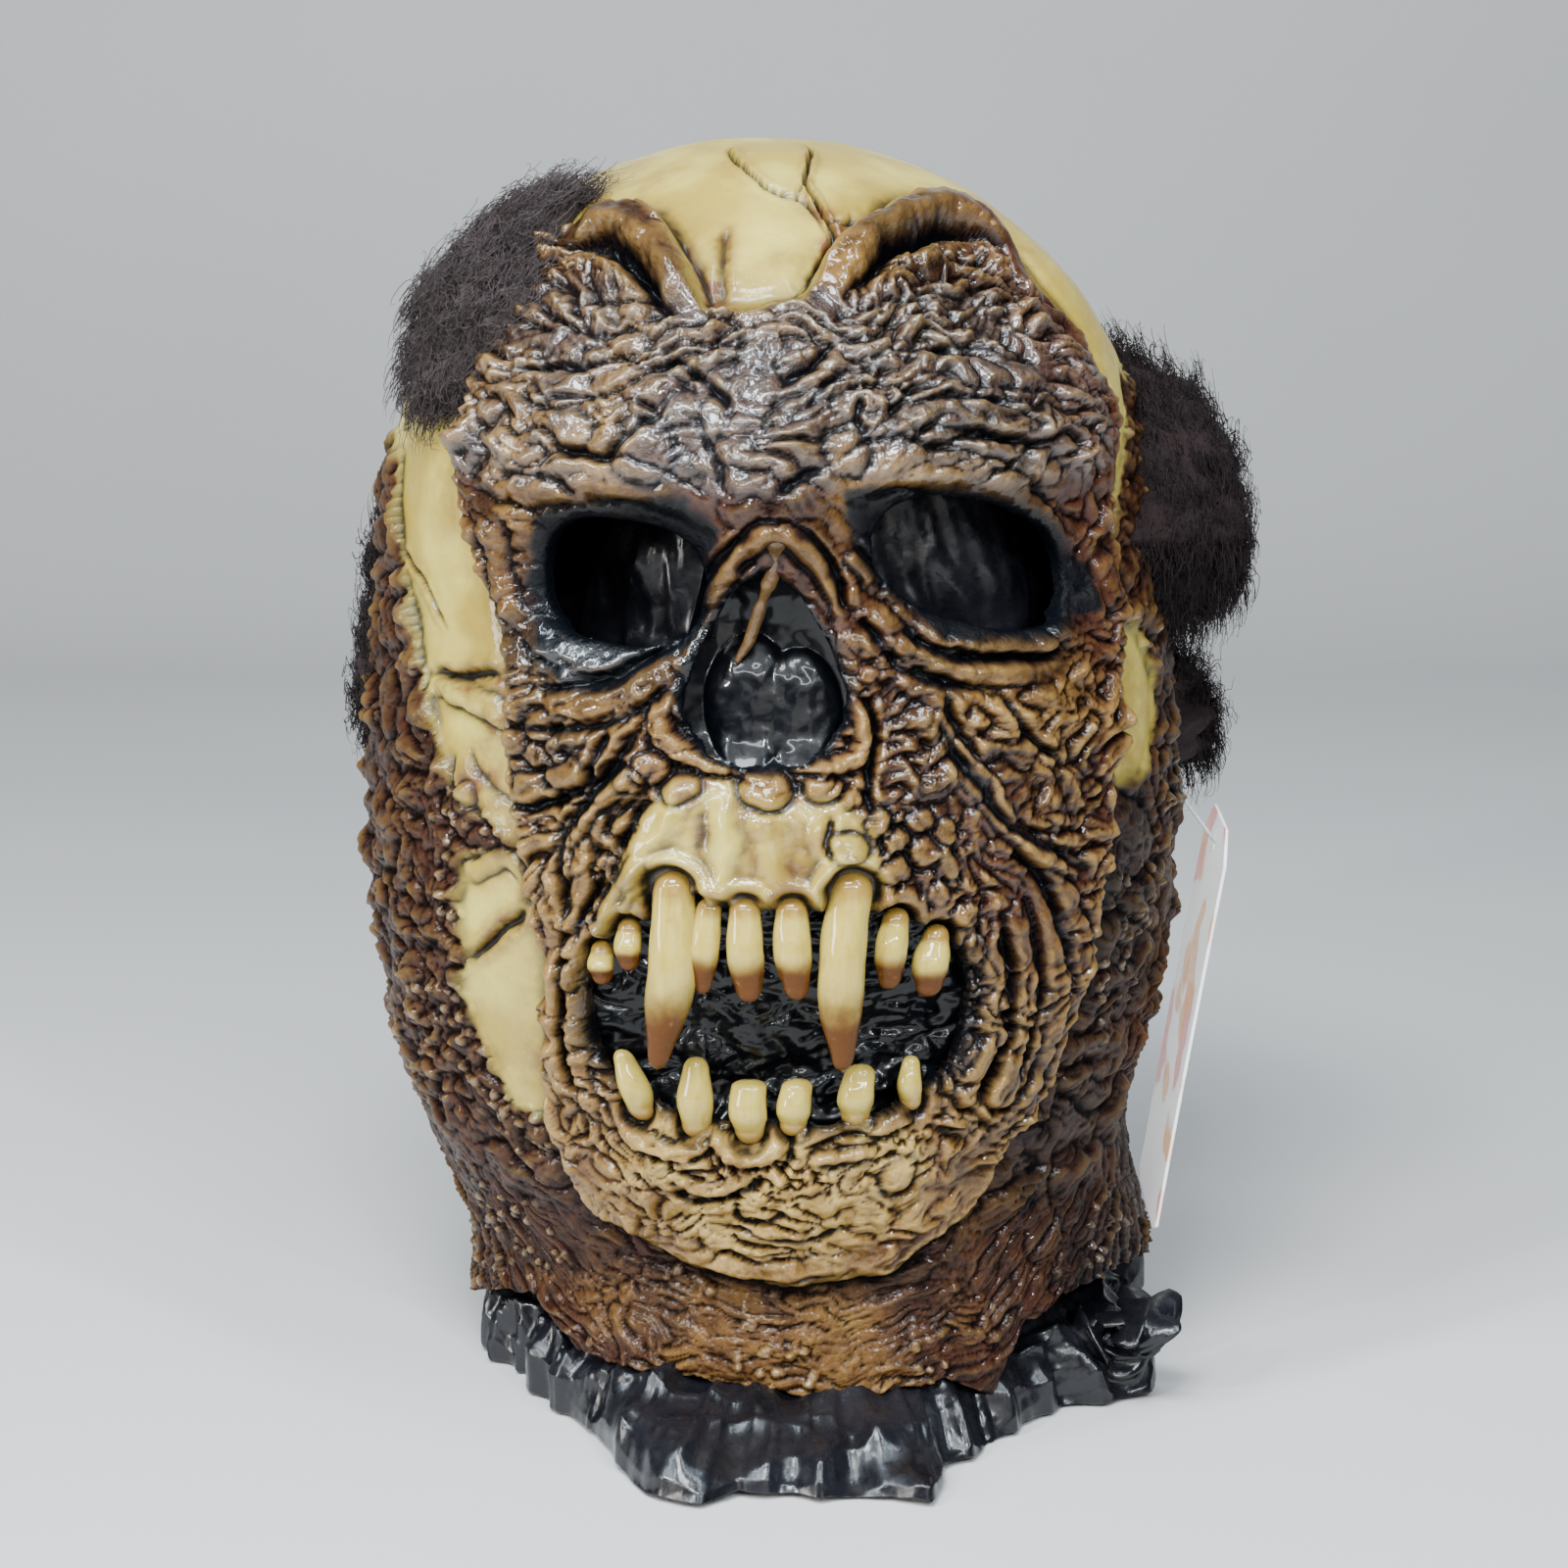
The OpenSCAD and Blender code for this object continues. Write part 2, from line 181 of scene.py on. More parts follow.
def slope_noise(p, seed):
    """Noise of about -1 to 1 with random slopes at the cell corners, so that it has no flat grid to it."""
    cell = np.floor(p)
    f = (p - cell).astype(np.float32)
    soft = f * f * f * (f * (f * 6 - 15) + 10)
    cell = cell.astype(np.int64)
    total = np.zeros(len(p), np.float32)
    for corner in itertools.product((0, 1), repeat=p.shape[1]):
        at = [cell[:, k] + c for k, c in enumerate(corner)]
        weight = np.ones(len(p), np.float32)
        tilt = np.zeros(len(p), np.float32)
        for k, c in enumerate(corner):
            weight *= soft[:, k] if c else 1 - soft[:, k]
            tilt += (lattice(at, seed + 11 * k) - 0.5) * (f[:, k] - c)
        total += weight * tilt
    return total * 4


def shifts(p, *seeds, kind=noise):
    """One noise for each seed, side by side, to move points by."""
    return np.stack([kind(p, seed) for seed in seeds], 1)


def puffs(p, seed, gain=0.5):
    """Puffy lumps of uneven size with thin creases between them: 0 in a crease, about 1 on a lump."""
    total = np.zeros(len(p), np.float32)
    for k in range(4):
        total += gain**k * np.abs(slope_noise(p * 2.07**k + 13.7 * k, seed + 3 * k)) ** 0.8
    return total * 1.15


def rough(p, seed):
    """Noise with finer noise on it."""
    return sum(noise(p * 2.03**k + 17.3 * k, seed + k) / 2**k for k in range(3))


def cells(p, seed):
    """Distance to the nearest and the second nearest scattered point, and the nearest one's number."""
    jitter = 0.85
    base = np.floor(p).astype(np.int64)
    first = np.full(len(p), 9, np.float32)
    second = first.copy()
    number = np.zeros(len(p), np.float32)
    for step in itertools.product((-1, 0, 1), repeat=p.shape[1]):
        at = [base[:, k] + s for k, s in enumerate(step)]
        gap = np.zeros(len(p), np.float32)
        for k in range(p.shape[1]):
            off = at[k] + 0.5 + jitter * (lattice(at, seed + 31 * k) - 0.5) - p[:, k]
            gap += off.astype(np.float32) ** 2
        nearer = gap < first
        second = np.where(nearer, first, np.minimum(second, gap))
        number = np.where(nearer, lattice(at, seed + 7), number)
        first = np.where(nearer, gap, first)
    return np.sqrt(first), np.sqrt(second), number


def pebbles(p, seed, gap):
    """Rounded bumps with narrow valleys between them: 0 in a valley, about 1 on a bump."""
    first, second, number = cells(p, seed)
    edge = np.clip((second - first) / gap, 0, 1)
    return edge * (2 - edge) * (1 - 0.45 * first * first) * (0.55 + 0.45 * number)


# ---------------------------------------------------------------------------
# Sculpted features of the skin, as lines on its own map: [(a, w), ...], half width, height
# ---------------------------------------------------------------------------
FOLD_SMOOTHNESS = 0.45
# A fold that isn't as smooth as FOLD_SMOOTHNESS says how smooth it is; at 1 it is a ridge of bone
FOLDS = [
    # torn flaps and ridges of the forehead
    ([(-90, 333), (-84, 338), (-76, 341), (-66, 341), (-52, 336), (-41, 328), (-31, 318), (-27, 311)],
     7.0, 5.6, 0.95),
    ([(14, 317), (22, 328), (40, 339), (64, 347), (88, 349), (102, 345), (109, 336), (107, 326)],
     7.4, 5.4, 0.9),
    ([(5, 287), (11, 293), (17, 298), (28, 302), (41, 300)], 3.4, 2),
    ([(-7, 313), (-5, 301), (-7, 289), (-8, 277)], 6, 1.2),
    ([(-76, 261), (-60, 264), (-44, 266), (-31, 264), (-19, 259)], 5, 2.6),
    ([(15, 265), (24, 269), (38, 270), (55, 265), (73, 256), (88, 243)], 5.5, 3),
    ([(-78, 287), (-63, 289), (-49, 291), (-35, 289), (-20, 283)], 4.5, 1.8),
    ([(-88, 300), (-64, 299), (-50, 300), (-39, 303)], 4, 1.6),
    ([(32, 295), (45, 295), (65, 293), (86, 291)], 4, 1.6),
    ([(30, 281), (41, 283), (56, 281), (73, 278)], 4, 1.6),
    # nasal bones and eyelids
    ([(-18, 232), (-16, 240), (-10, 248), (-5, 253), (0, 254), (5, 252), (10, 245), (14, 238),
      (17, 230)], 2.6, 3.4, 0.5),
    ([(17, 249), (24, 240)], 3, 3),
    ([(-69, 228), (-58, 223), (-47, 221), (-35, 225), (-25, 233)], 4.5, 2.6),
    ([(-61, 207), (-47, 209), (-37, 212), (-29, 220)], 3.5, 1.8),
    ([(34, 231), (42, 227), (54, 225), (70, 224), (86, 226)], 4, 2.6),
    ([(23, 238), (30, 228), (40, 220), (52, 216), (71, 215)], 3.5, 2.2),
    ([(29, 217), (40, 212), (51, 209)], 3, 1.8),
    ([(21, 253), (28, 244), (31, 235)], 2.2, 2),
    ([(-79, 257), (-78, 247), (-74, 234), (-69, 228)], 4, 2.2),
    ([(100, 243), (101, 234), (92, 228)], 4, 2),
    # rim of the nose
    ([(-27, 214), (-29, 208), (-28, 201), (-22, 197), (-14, 195), (-8, 194)], 2.8, 3.8, 0.5),
    ([(18, 212), (20, 205), (19, 198), (15, 195), (9, 195)], 2.8, 3.6, 0.5),
    ([(0, 196), (6, 195), (13, 194)], 2.4, 2.6),
    # rolls of the cheeks and rings round the mouth
    ([(-68, 183), (-57, 187), (-49, 191), (-46, 198)], 5, 2.2),
    ([(-31, 198), (-38, 188), (-44, 178), (-49, 165), (-50, 152)], 3.2, 2.6),
    ([(-37, 193), (-45, 182), (-53, 170), (-56, 156), (-56, 143)], 3.2, 2.2),
    ([(-47, 152), (-52, 136), (-53, 120), (-51, 103), (-45, 91)], 3, 2.4),
    ([(-56, 143), (-59, 126), (-60, 111), (-57, 95)], 3, 2),
    ([(-31, 172), (-35, 165), (-41, 157), (-45, 147)], 2.6, 2.6),
    ([(-32, 164), (-36, 159), (-39, 154)], 1.8, 2),
    ([(52, 152), (55, 137), (56, 123), (53, 109), (47, 100)], 3, 2.6),
    ([(59, 157), (64, 139), (65, 119), (59, 101), (49, 89)], 3, 2.2),
    ([(66, 159), (73, 139), (76, 117), (71, 99), (59, 85)], 3, 2),
    ([(58, 176), (71, 163), (82, 143), (86, 120)], 3.2, 1.8),
    ([(45, 196), (54, 182), (67, 168), (84, 159)], 3.4, 2),
    # bone ridges of the upper jaw and gum edges
    ([(-13, 188), (-12, 176), (-13, 163)], 4.6, 2.2, 1.0),
    ([(-2, 185), (-2, 176), (-1, 163)], 4.4, 2.0, 1.0),
    ([(8, 182), (10, 174), (11, 163)], 3.4, 2.0, 1.0),
    ([(-25, 188), (-27, 178), (-33, 171), (-38, 160)], 4.4, 2.8, 1.0),
    ([(-42, 97), (-39, 92), (-28, 89), (-21, 91), (-17, 94), (-12, 90), (-5, 89), (1, 93)], 3.2, 3.8, 0.7),
    ([(3, 92), (10, 97), (17, 97), (28, 97), (38, 100)], 3.2, 3.6, 0.7),
    ([(-42, 86), (-31, 80), (-17, 79), (-7, 82)], 3.2, 2),
    ([(6, 86), (16, 88), (26, 88)], 2.8, 2),
    ([(-37, 59), (-19, 53), (5, 51), (25, 56)], 4, 1.4),
    # cheekbone and jaw at the side
    ([(-108, 206), (-85, 204), (-72, 199)], 4, 2.2),
    ([(-95, 190), (-90, 182), (-76, 174), (-70, 167)], 4, 2),
    ([(-91, 157), (-77, 163), (-71, 159)], 3, 1.6),
]
CREASES = [
    # under the torn flaps, and cracks of the bare skull
    ([(-82, 330), (-70, 331), (-58, 328), (-45, 321), (-36, 312)], 2.8, 6.5),
    ([(30, 323), (46, 334), (68, 340), (86, 340), (96, 333), (99, 323)], 2.8, 6),
    ([(-66, 393), (-31, 378), (-3, 364), (8, 361), (16, 357), (23, 343)], 1.1, 2.4),
    ([(52, 402), (47, 397), (26, 381), (18, 370), (21, 357), (25, 344), (15, 331), (9, 321)], 1.25, 2.7),
    ([(18, 370), (12, 364), (8, 361)], 0.8, 1.4),
    ([(20, 352), (31, 350), (38, 353)], 0.9, 1.4),
    ([(-23, 346), (-24, 338), (-21, 326), (-20, 317)], 1.8, 1.4),
    # forehead
    ([(-88, 291), (-63, 293), (-50, 295), (-42, 298)], 1.1, 2.4),
    ([(-36, 296), (-26, 295), (-16, 289), (-12, 283)], 1.1, 2.4),
    ([(-61, 275), (-52, 272), (-42, 272), (-39, 276), (-33, 280), (-28, 277)], 1.1, 2.6),
    ([(-75, 264), (-67, 266), (-58, 266), (-51, 261)], 1, 2.4),
    ([(0, 291), (11, 298), (15, 302)], 1.3, 2),
    ([(6, 284), (13, 291), (19, 296)], 0.9, 1.4),
    ([(44, 300), (58, 300), (71, 298)], 1.3, 2.6),
    ([(42, 289), (55, 286), (71, 285)], 1.1, 2.4),
    ([(29, 282), (33, 287), (39, 291)], 0.9, 1.8),
    ([(48, 276), (61, 276), (79, 273)], 1, 2.2),
    ([(23, 288), (20, 282), (24, 277)], 0.9, 1.8),
    ([(0, 263), (5, 267), (12, 269)], 1.4, 2.4),
    ([(-19, 278), (-15, 270), (-14, 265)], 1.1, 1.4),
    # beside the nose and under the eyes
    ([(-21, 234), (-19, 243), (-12, 251), (-5, 256)], 1, 2.2),
    ([(2, 256), (10, 250), (14, 242), (18, 234)], 1, 2.2),
    ([(-62, 212), (-48, 214), (-35, 219), (-28, 227)], 1.3, 2.8),
    ([(-68, 201), (-51, 202), (-36, 206), (-26, 216)], 1.1, 2.2),
    ([(30, 234), (37, 225), (47, 220), (65, 219), (85, 220)], 1.2, 2.6),
    ([(21, 234), (29, 220), (40, 214), (52, 212)], 1.2, 2.4),
    ([(85, 240), (86, 234), (81, 227)], 1, 1.8),
    ([(21, 214), (23, 202), (21, 190), (22, 179)], 1.3, 2.8),
    # cheeks
    ([(40, 204), (47, 192), (57, 178), (70, 168), (84, 161)], 1.4, 2.8),
    ([(42, 214), (45, 204), (51, 192)], 1.1, 2.2),
    ([(57, 210), (64, 200), (74, 191)], 1, 2),
    ([(-73, 185), (-68, 180), (-57, 182), (-48, 187), (-44, 195)], 1.2, 2.8),
    ([(-33, 205), (-40, 194), (-47, 182), (-53, 173), (-54, 164), (-52, 152)], 1.3, 3),
    ([(-41, 203), (-44, 198), (-46, 189)], 1, 2),
    ([(-41, 169), (-47, 157), (-51, 143)], 0.9, 2),
    # upper jaw and the sockets of the fangs
    ([(12, 181), (11, 176), (11, 171)], 1.0, 2.6),
    ([(-32, 187), (-34, 180), (-38, 170)], 1.2, 2.6),
    ([(-19, 184), (-18, 178), (-19, 173)], 1.4, 0.7),
    # between the rings of the mouth
    ([(-53, 147), (-56, 131), (-57, 114), (-53, 99)], 1, 2.4),
    ([(56, 153), (60, 138), (61, 121), (56, 105), (49, 95)], 1, 2.4),
    ([(63, 160), (69, 140), (70, 119), (65, 100)], 1, 2.4),
    ([(56, 174), (68, 160), (77, 141), (81, 119)], 1, 2.2),
    # gum, lip and chin
    ([(2, 95), (3, 90), (0, 84)], 1.1, 2.6),
    ([(-29, 79), (-23, 73), (-11, 77), (-2, 83)], 1.2, 2.6),
    ([(8, 86), (17, 86), (25, 87)], 0.9, 1.8),
    ([(-11, 77), (-11, 70), (-7, 68), (2, 71)], 1, 2),
    ([(-16, 67), (0, 62), (21, 66)], 0.9, 1.6),
    ([(-30, 53), (-7, 48), (21, 51)], 0.9, 1.4),
    # temple and jaw at the side
    ([(-132, 240), (-119, 234), (-105, 222)], 0.8, 1.8),
    ([(-112, 208), (-98, 210), (-79, 213)], 1.2, 2.4),
    ([(-71, 152), (-77, 144), (-92, 132)], 1.2, 3),
]
# Single lumps: place on the map, half width, half height, height
LUMPS = [
    (-33, 273, 8, 8, 2.2), (-53, 277, 5, 5, 1.6), (-67, 270, 6, 6, 1.6), (17, 273, 6, 6, 1.6),
    (67, 269, 3.5, 3.5, 1.4), (80, 266, 4, 4, 1.4), (59, 272, 4, 4, 1.4), (-16, 283, 4, 6, 1.4),
    (18, 286, 4, 5, 1.4),
    (3, 198, 6.2, 3.4, 2.8), (-3, 189, 6.4, 5, 3.2), (10, 189, 4.8, 3.8, 2.8), (-24, 189, 4.6, 3.6, 2.8),
    (-31, 194, 4.6, 4.2, 2.8), (-36, 191, 3.6, 3.4, 2), (-61, 202, 4.4, 4.6, 2.4),
    (-52, 191, 6.4, 4.8, 2), (-68, 197, 3.6, 3.6, 1.8), (-51, 201, 3.8, 3.6, 1.8),
    (16, 174, 5.2, 3.8, 3.2), (24, 180, 3.4, 4.4, 2.4), (28, 175, 3.6, 4, 2.4), (28, 167, 4.6, 3.8, 2.6),
    (34, 179, 3.4, 3.2, 2.2), (35, 171, 3.8, 4.2, 2.4), (41, 176, 3.6, 3.4, 2.2),
    (42, 167, 3.6, 3.6, 2.2), (46, 153, 3.4, 4.2, 2.6), (49, 143, 3.2, 4.8, 2.6),
    (39, 160, 3, 3.4, 2), (32, 81, 5.2, 6.2, 2.4), (-53, 136, 3.2, 4.4, 2), (-52, 120, 3, 4, 1.8),
    (-90, 178, 3.5, 4, 2.6),
]
# Areas, as outlines on the skin's map
FACE_EDGE = [
    (-103, 319), (-98, 332), (-90, 342), (-76, 347), (-62, 347), (-46, 339), (-33, 327), (-24, 315),
    (-10, 314), (8, 317), (19, 333), (40, 346), (64, 354), (90, 355), (108, 349), (115, 338),
    (113, 320), (119, 302), (119, 282), (109, 259), (110, 232), (103, 207), (98, 181),
    (93, 155), (88, 128), (82, 100), (60, 67), (33, 51), (2, 48), (-31, 52), (-58, 63), (-67, 89),
    (-63, 119), (-63, 152), (-67, 168), (-70, 186), (-72, 211), (-80, 236), (-91, 255),
    (-95, 281), (-99, 307),
]
SIDE_BONES = [
    [(-75, 152), (-66, 152), (-62, 139), (-64, 116), (-68, 89), (-82, 91), (-91, 109), (-96, 123),
     (-93, 132)],
    [(-90, 163), (-73, 167), (-71, 157), (-77, 144), (-93, 136), (-94, 148)],
    [(-112, 207), (-78, 213), (-71, 199), (-68, 186), (-67, 165), (-74, 169), (-94, 181), (-105, 195)],
    [(103, 212), (113, 221), (128, 217), (134, 205), (128, 190), (118, 179), (106, 178), (100, 192)],
]
UPPER_JAW = [
    (-33, 182), (-25, 190), (-13, 191), (1, 187), (13, 187), (22, 178), (24, 164), (22, 157),
    (12, 160), (8, 155), (-15, 155), (-18, 162), (-24, 168), (-31, 163), (-37, 147), (-45, 145),
    (-42, 155),
]
SOCKETS = [
    [(-65, 257), (-49, 262), (-23, 263), (-14, 255), (-18, 239), (-27, 226), (-45, 221), (-61, 224),
     (-70, 237)],
    [(16, 265), (44, 264), (72, 254), (96, 239), (95, 229), (73, 225), (43, 226), (28, 239), (19, 252)],
]
# Upper edge of the side flesh, as height on the map against distance round the head
SIDE_EDGE = [
    (-346, 252), (-220, 262), (-160, 268), (-142, 264), (-136, 246), (-126, 230), (-112, 208),
    (-90, 209), (-74, 214), (-60, 214), (60, 222), (105, 226), (125, 262), (146, 286), (175, 292),
    (220, 270), (346, 252),
]
NOSE_EDGE = [(194, 6), (197, 14), (205, 20), (212, 21), (225, 16.5), (238, 9), (245, 1)]


def smooth_line(points):
    """A soft curve through the points, with a point every 1.6 millimetres."""
    step = 1.6
    p = np.array(points, float)
    p = np.concatenate([[2 * p[0] - p[1]], p, [2 * p[-1] - p[-2]]])
    out = []
    for i in range(1, len(p) - 2):
        n = max(2, int(np.linalg.norm(p[i + 1] - p[i]) / step))
        t = np.linspace(0, 1, n, endpoint=False)[:, None]
        out.append(
            0.5 * (2 * p[i] + (p[i + 1] - p[i - 1]) * t
                   + (2 * p[i - 1] - 5 * p[i] + 4 * p[i + 1] - p[i + 2]) * t**2
                   + (3 * p[i] - p[i - 1] - 3 * p[i + 1] + p[i + 2]) * t**3)
        )
    return np.concatenate(out + [p[-2:-1]])


def line_distance(q, line):
    """Distance of points q from a line, and how far along it from 0 to 1 the nearest point is."""
    best = np.full(len(q), 1e9)
    along = np.zeros(len(q))
    pieces = len(line) - 1
    for i in range(pieces):
        d = line[i + 1] - line[i]
        t = np.clip(((q - line[i]) @ d) / (d @ d), 0, 1)
        gap = ((q - line[i] - t[:, None] * d) ** 2).sum(1)
        nearer = gap < best
        best = np.where(nearer, gap, best)
        along = np.where(nearer, (i + t) / pieces, along)
    return np.sqrt(best), along


def outline_distance(q, outline):
    """Signed distance of points q from a closed outline: negative inside."""
    p = np.array(outline, float)
    gap = np.full(len(q), 1e9)
    inside = np.zeros(len(q), bool)
    for start, end in zip(p, np.roll(p, -1, 0)):
        d = end - start
        t = np.clip(((q - start) @ d) / (d @ d), 0, 1)
        gap = np.minimum(gap, ((q - start - t[:, None] * d) ** 2).sum(1))
        if d[1] != 0:
            crosses = (q[:, 1] < start[1]) != (q[:, 1] < end[1])
            inside ^= crosses & (q[:, 0] < start[0] + (q[:, 1] - start[1]) * d[0] / d[1])
    return np.where(inside, -1, 1) * np.sqrt(gap)


def near_outline(q, outline, room=25):
    """outline_distance, worked out only near the outline."""
    p = np.array(outline, float)
    near = ((q > p.min(0) - room) & (q < p.max(0) + room)).all(1)
    out = np.full(len(q), float(room))
    out[near] = outline_distance(q[near], outline)
    return out


def holes(a, w):
    """Signed distance from the nearest edge of the eye, nose and mouth openings: negative inside."""
    def oval(mid, half, turn, power):
        c, s = math.cos(math.radians(turn)), math.sin(math.radians(turn))
        x, y = a - mid[0], w - mid[1]
        u, v = np.abs(c * x + s * y) / half[0], np.abs(c * y - s * x) / half[1]
        return ((u**power + v**power) ** (1 / power) - 1) * min(half)

    nose_w, nose_half = zip(*NOSE_EDGE)
    nose = np.maximum(
        0.9 * (np.abs(a + 3.5) - np.interp(w, nose_w, nose_half)),
        np.maximum(nose_w[0] - w, w - nose_w[-1]),
    )
    return np.minimum.reduce([
        oval((-42.5, 240), (22.5, 16.4), -5, 2.6),
        oval((56.5, 244), (32.5, 16.2), -16, 2.3),
        oval((0, 127), (49.5, 30.5), 0, 2.6),
        nose,
    ])


# ---------------------------------------------------------------------------
# Teeth: name, length, lean, root, middle and tip radius, flatness of the end
# ---------------------------------------------------------------------------
LONG_TOOTH = 30
UPPER_TEETH = [
    ("upper_fang_left", 44, -4, 6, 6.3, 2.6, 1.5), ("upper_fang_right", 44, -2, 6, 6.3, 2.6, 1.5),
    ("upper_incisor_left", 19, -1.5, 3.7, 3.9, 2.2, 1.3), ("upper_incisor_centre", 20, 1, 4.6, 5, 3.3, 1.1),
    ("upper_incisor_right", 19.5, 1, 4.5, 4.9, 3.2, 1.1),
    ("upper_cheek_tooth_right_front", 15, -1.5, 3.8, 4.4, 3, 1),
    ("upper_cheek_tooth_right_back", 12, -1.5, 4, 5, 3.6, 0.9),
    ("upper_cheek_tooth_left_front", 8, 0, 3.5, 3.7, 2.8, 0.9),
    ("upper_cheek_tooth_left_back", 6, 0, 3.3, 3.5, 2.6, 0.9),
]
LOWER_TEETH = [
    ("lower_canine_left", 13, -4, 4, 4.4, 2.8, 1.1), ("lower_incisor_left", 15, 0, 4.4, 4.8, 3.4, 1),
    ("lower_incisor_centre", 12, 0, 4.4, 5.2, 4.6, 0.35), ("lower_incisor_right", 10, 1, 4, 4.6, 4, 0.5),
    ("lower_canine_right", 10, 1, 4.4, 5, 4.2, 0.8), ("lower_cheek_tooth_right", 10, 0, 3.2, 3.4, 2.4, 1),
]


def tooth_root(name, lean, root_r, down):
    """Centre of a tooth's root ball, from the CAD tooth's box, in millimetres."""
    low, high = (np.array(corner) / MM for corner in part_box(name))
    x = high[0] - root_r if lean < 0 else low[0] + root_r if lean > 0 else (low[0] + high[0]) / 2
    return np.array([x, high[1] - root_r, high[2] - root_r if down else low[2] + root_r])


def tooth_roots():
    """Each tooth's root on the skin's map, its socket's half width, its ridge's height, and if it hangs."""
    for table, down in ((UPPER_TEETH, True), (LOWER_TEETH, False)):
        for name, length, lean, root_r, *_ in table:
            x, y, z = tooth_root(name, lean, root_r, down)
            a = (math.degrees(math.atan2(y - AXIS_XY[1], x - AXIS_XY[0])) + 90) * DEG
            rise = 2.6 if length > LONG_TOOTH else 1.7 if down else 0.7
            yield a, z + (0.5 if down else -0.5), root_r * 1.02, rise, down


# ---------------------------------------------------------------------------
# Sculpting: height over the smooth head, and where each paint goes
# ---------------------------------------------------------------------------
def near_line(q, line, room):
    """Which of the points q are inside the line's own box with some room round it."""
    return np.flatnonzero(((q > line.min(0) - room) & (q < line.max(0) + room)).all(1))


def raise_to(values, where, least):
    values[where] = np.maximum(values[where], least)


# The next four add to height, to the dark wash that lies in hollows, and to sleek, which is how
# smooth the skin is there. q are points on the map and bent the same points moved a little.
def add_folds(q, bent, height, wash, sleek):
    for points, half, rise, *given in FOLDS:
        line = smooth_line(points)
        near = near_line(q, line, 4 * half)
        smooth = given[0] if given else FOLD_SMOOTHNESS
        bony = smooth == 1
        gap, along = line_distance(bent[near], line)
        taper = ease(0, 0.16, along) * ease(1, 0.84, along) * 0.85 + 0.15
        uneven = 0.25 if rise < 5 else 0.06
        wide = half * (0.72 + 0.28 * taper) * (1 + uneven * noise(q[near] / 5.5, 66))
        if bony:
            rope = np.exp(-((gap / (0.62 * wide)) ** 2))
        else:
            rope = np.sqrt(np.clip(1 - (gap / wide) ** 2, 0, 1))
        rope = rope * (1 + uneven * noise(q[near] / 4, 67))
        beside = np.exp(-(((gap - wide * 1.05) / 0.95) ** 2)) * ease(0, 0.12, along) * ease(1, 0.88, along)
        height[near] += taper * rise * rope - (0.056 if bony else 0.28) * rise * beside
        raise_to(wash, near, (0.2 if bony else 0.7) * beside * min(1, rise / 2.4))
        raise_to(sleek, near, rope * smooth)


def add_creases(q, bent, height, wash):
    for points, half, depth in CREASES:
        line = smooth_line(points)
        near = near_line(q, line, 6 * half)
        gap, along = line_distance(bent[near], line)
        taper = ease(0, 0.2, along) * ease(1, 0.8, along) * 0.8 + 0.2
        cut = np.exp(-((gap / half) ** 2)) * taper
        lips = np.exp(-(((gap - 2.4 * half) / (1.1 * half)) ** 2)) * taper
        height[near] += depth * (0.25 * lips - cut)
        raise_to(wash, near, cut)


def add_lumps(q, bent, height, wash, sleek):
    for a, w, half_a, half_w, rise in LUMPS:
        near = np.flatnonzero((np.abs(q - (a, w)) < (1.8 * half_a, 1.8 * half_w)).all(1))
        out = np.hypot((bent[near, 0] - a) / half_a, (bent[near, 1] - w) / half_w)
        ring = np.exp(-(((out - 1.05) / 0.2) ** 2))
        dome = np.clip(1 - out**2, 0, 1) ** 0.6
        height[near] += rise * (dome - 0.3 * ring)
        raise_to(wash, near, 0.7 * ring)
        raise_to(sleek, near, 0.8 * dome)


def add_sockets(q, height, wash, sleek):
    """A tooth stands in a socket: a dark gap round its root, and a ridge of bone or gum round that."""
    for a, w, half, rise, down in tooth_roots():
        near = np.flatnonzero((np.abs(q[:, 0] - a) < 3 * half) & (np.abs(q[:, 1] - w) < 6 * half))
        x, y = q[near, 0] - a, (q[near, 1] - w) * (1 if down else -1)
        gap = np.hypot(x, np.maximum(y, 0)) - half
        open_side = ease(-1.2 * half, -0.2 * half, y)
        inside = ease(0.8, -0.6, gap)
        ring = np.exp(-(((gap - 0.5) / 0.75) ** 2)) * open_side
        ridge = np.exp(-(((gap - 2.7) / 1.7) ** 2)) * open_side
        height[near] += rise * ridge - 2.4 * inside - 1.3 * ring
        raise_to(wash, near, np.maximum(0.95 * ring, 0.7 * inside))
        raise_to(sleek, near, np.clip(ridge + inside + ring, 0, 1) * 0.85)


def hand_sculpted(q):
    """Height, dark wash and smoothness of everything that is drawn on the map."""
    drawn, wash, sleek = (np.zeros(len(q)) for _ in range(3))
    # nothing is drawn behind the ears
    front = np.flatnonzero(np.abs(q[:, 0]) < 175)
    fields = [field[front] for field in (drawn, wash, sleek)]
    flat = q[front]
    bent = flat + 0.9 * shifts(flat / 9, 61, 64, kind=rough)
    add_folds(flat, bent, *fields)
    add_creases(flat, bent, *fields[:2])
    add_lumps(flat, bent, *fields)
    add_sockets(flat, *fields)
    drawn[front], wash[front], sleek[front] = fields
    return drawn, wash, sleek


def inside_any(q, outlines, outer, inner, waver):
    """1 inside any of the outlines and 0 outside them, with a soft wavering edge."""
    return np.maximum.reduce([ease(outer, inner, near_outline(q, line) + waver) for line in outlines])


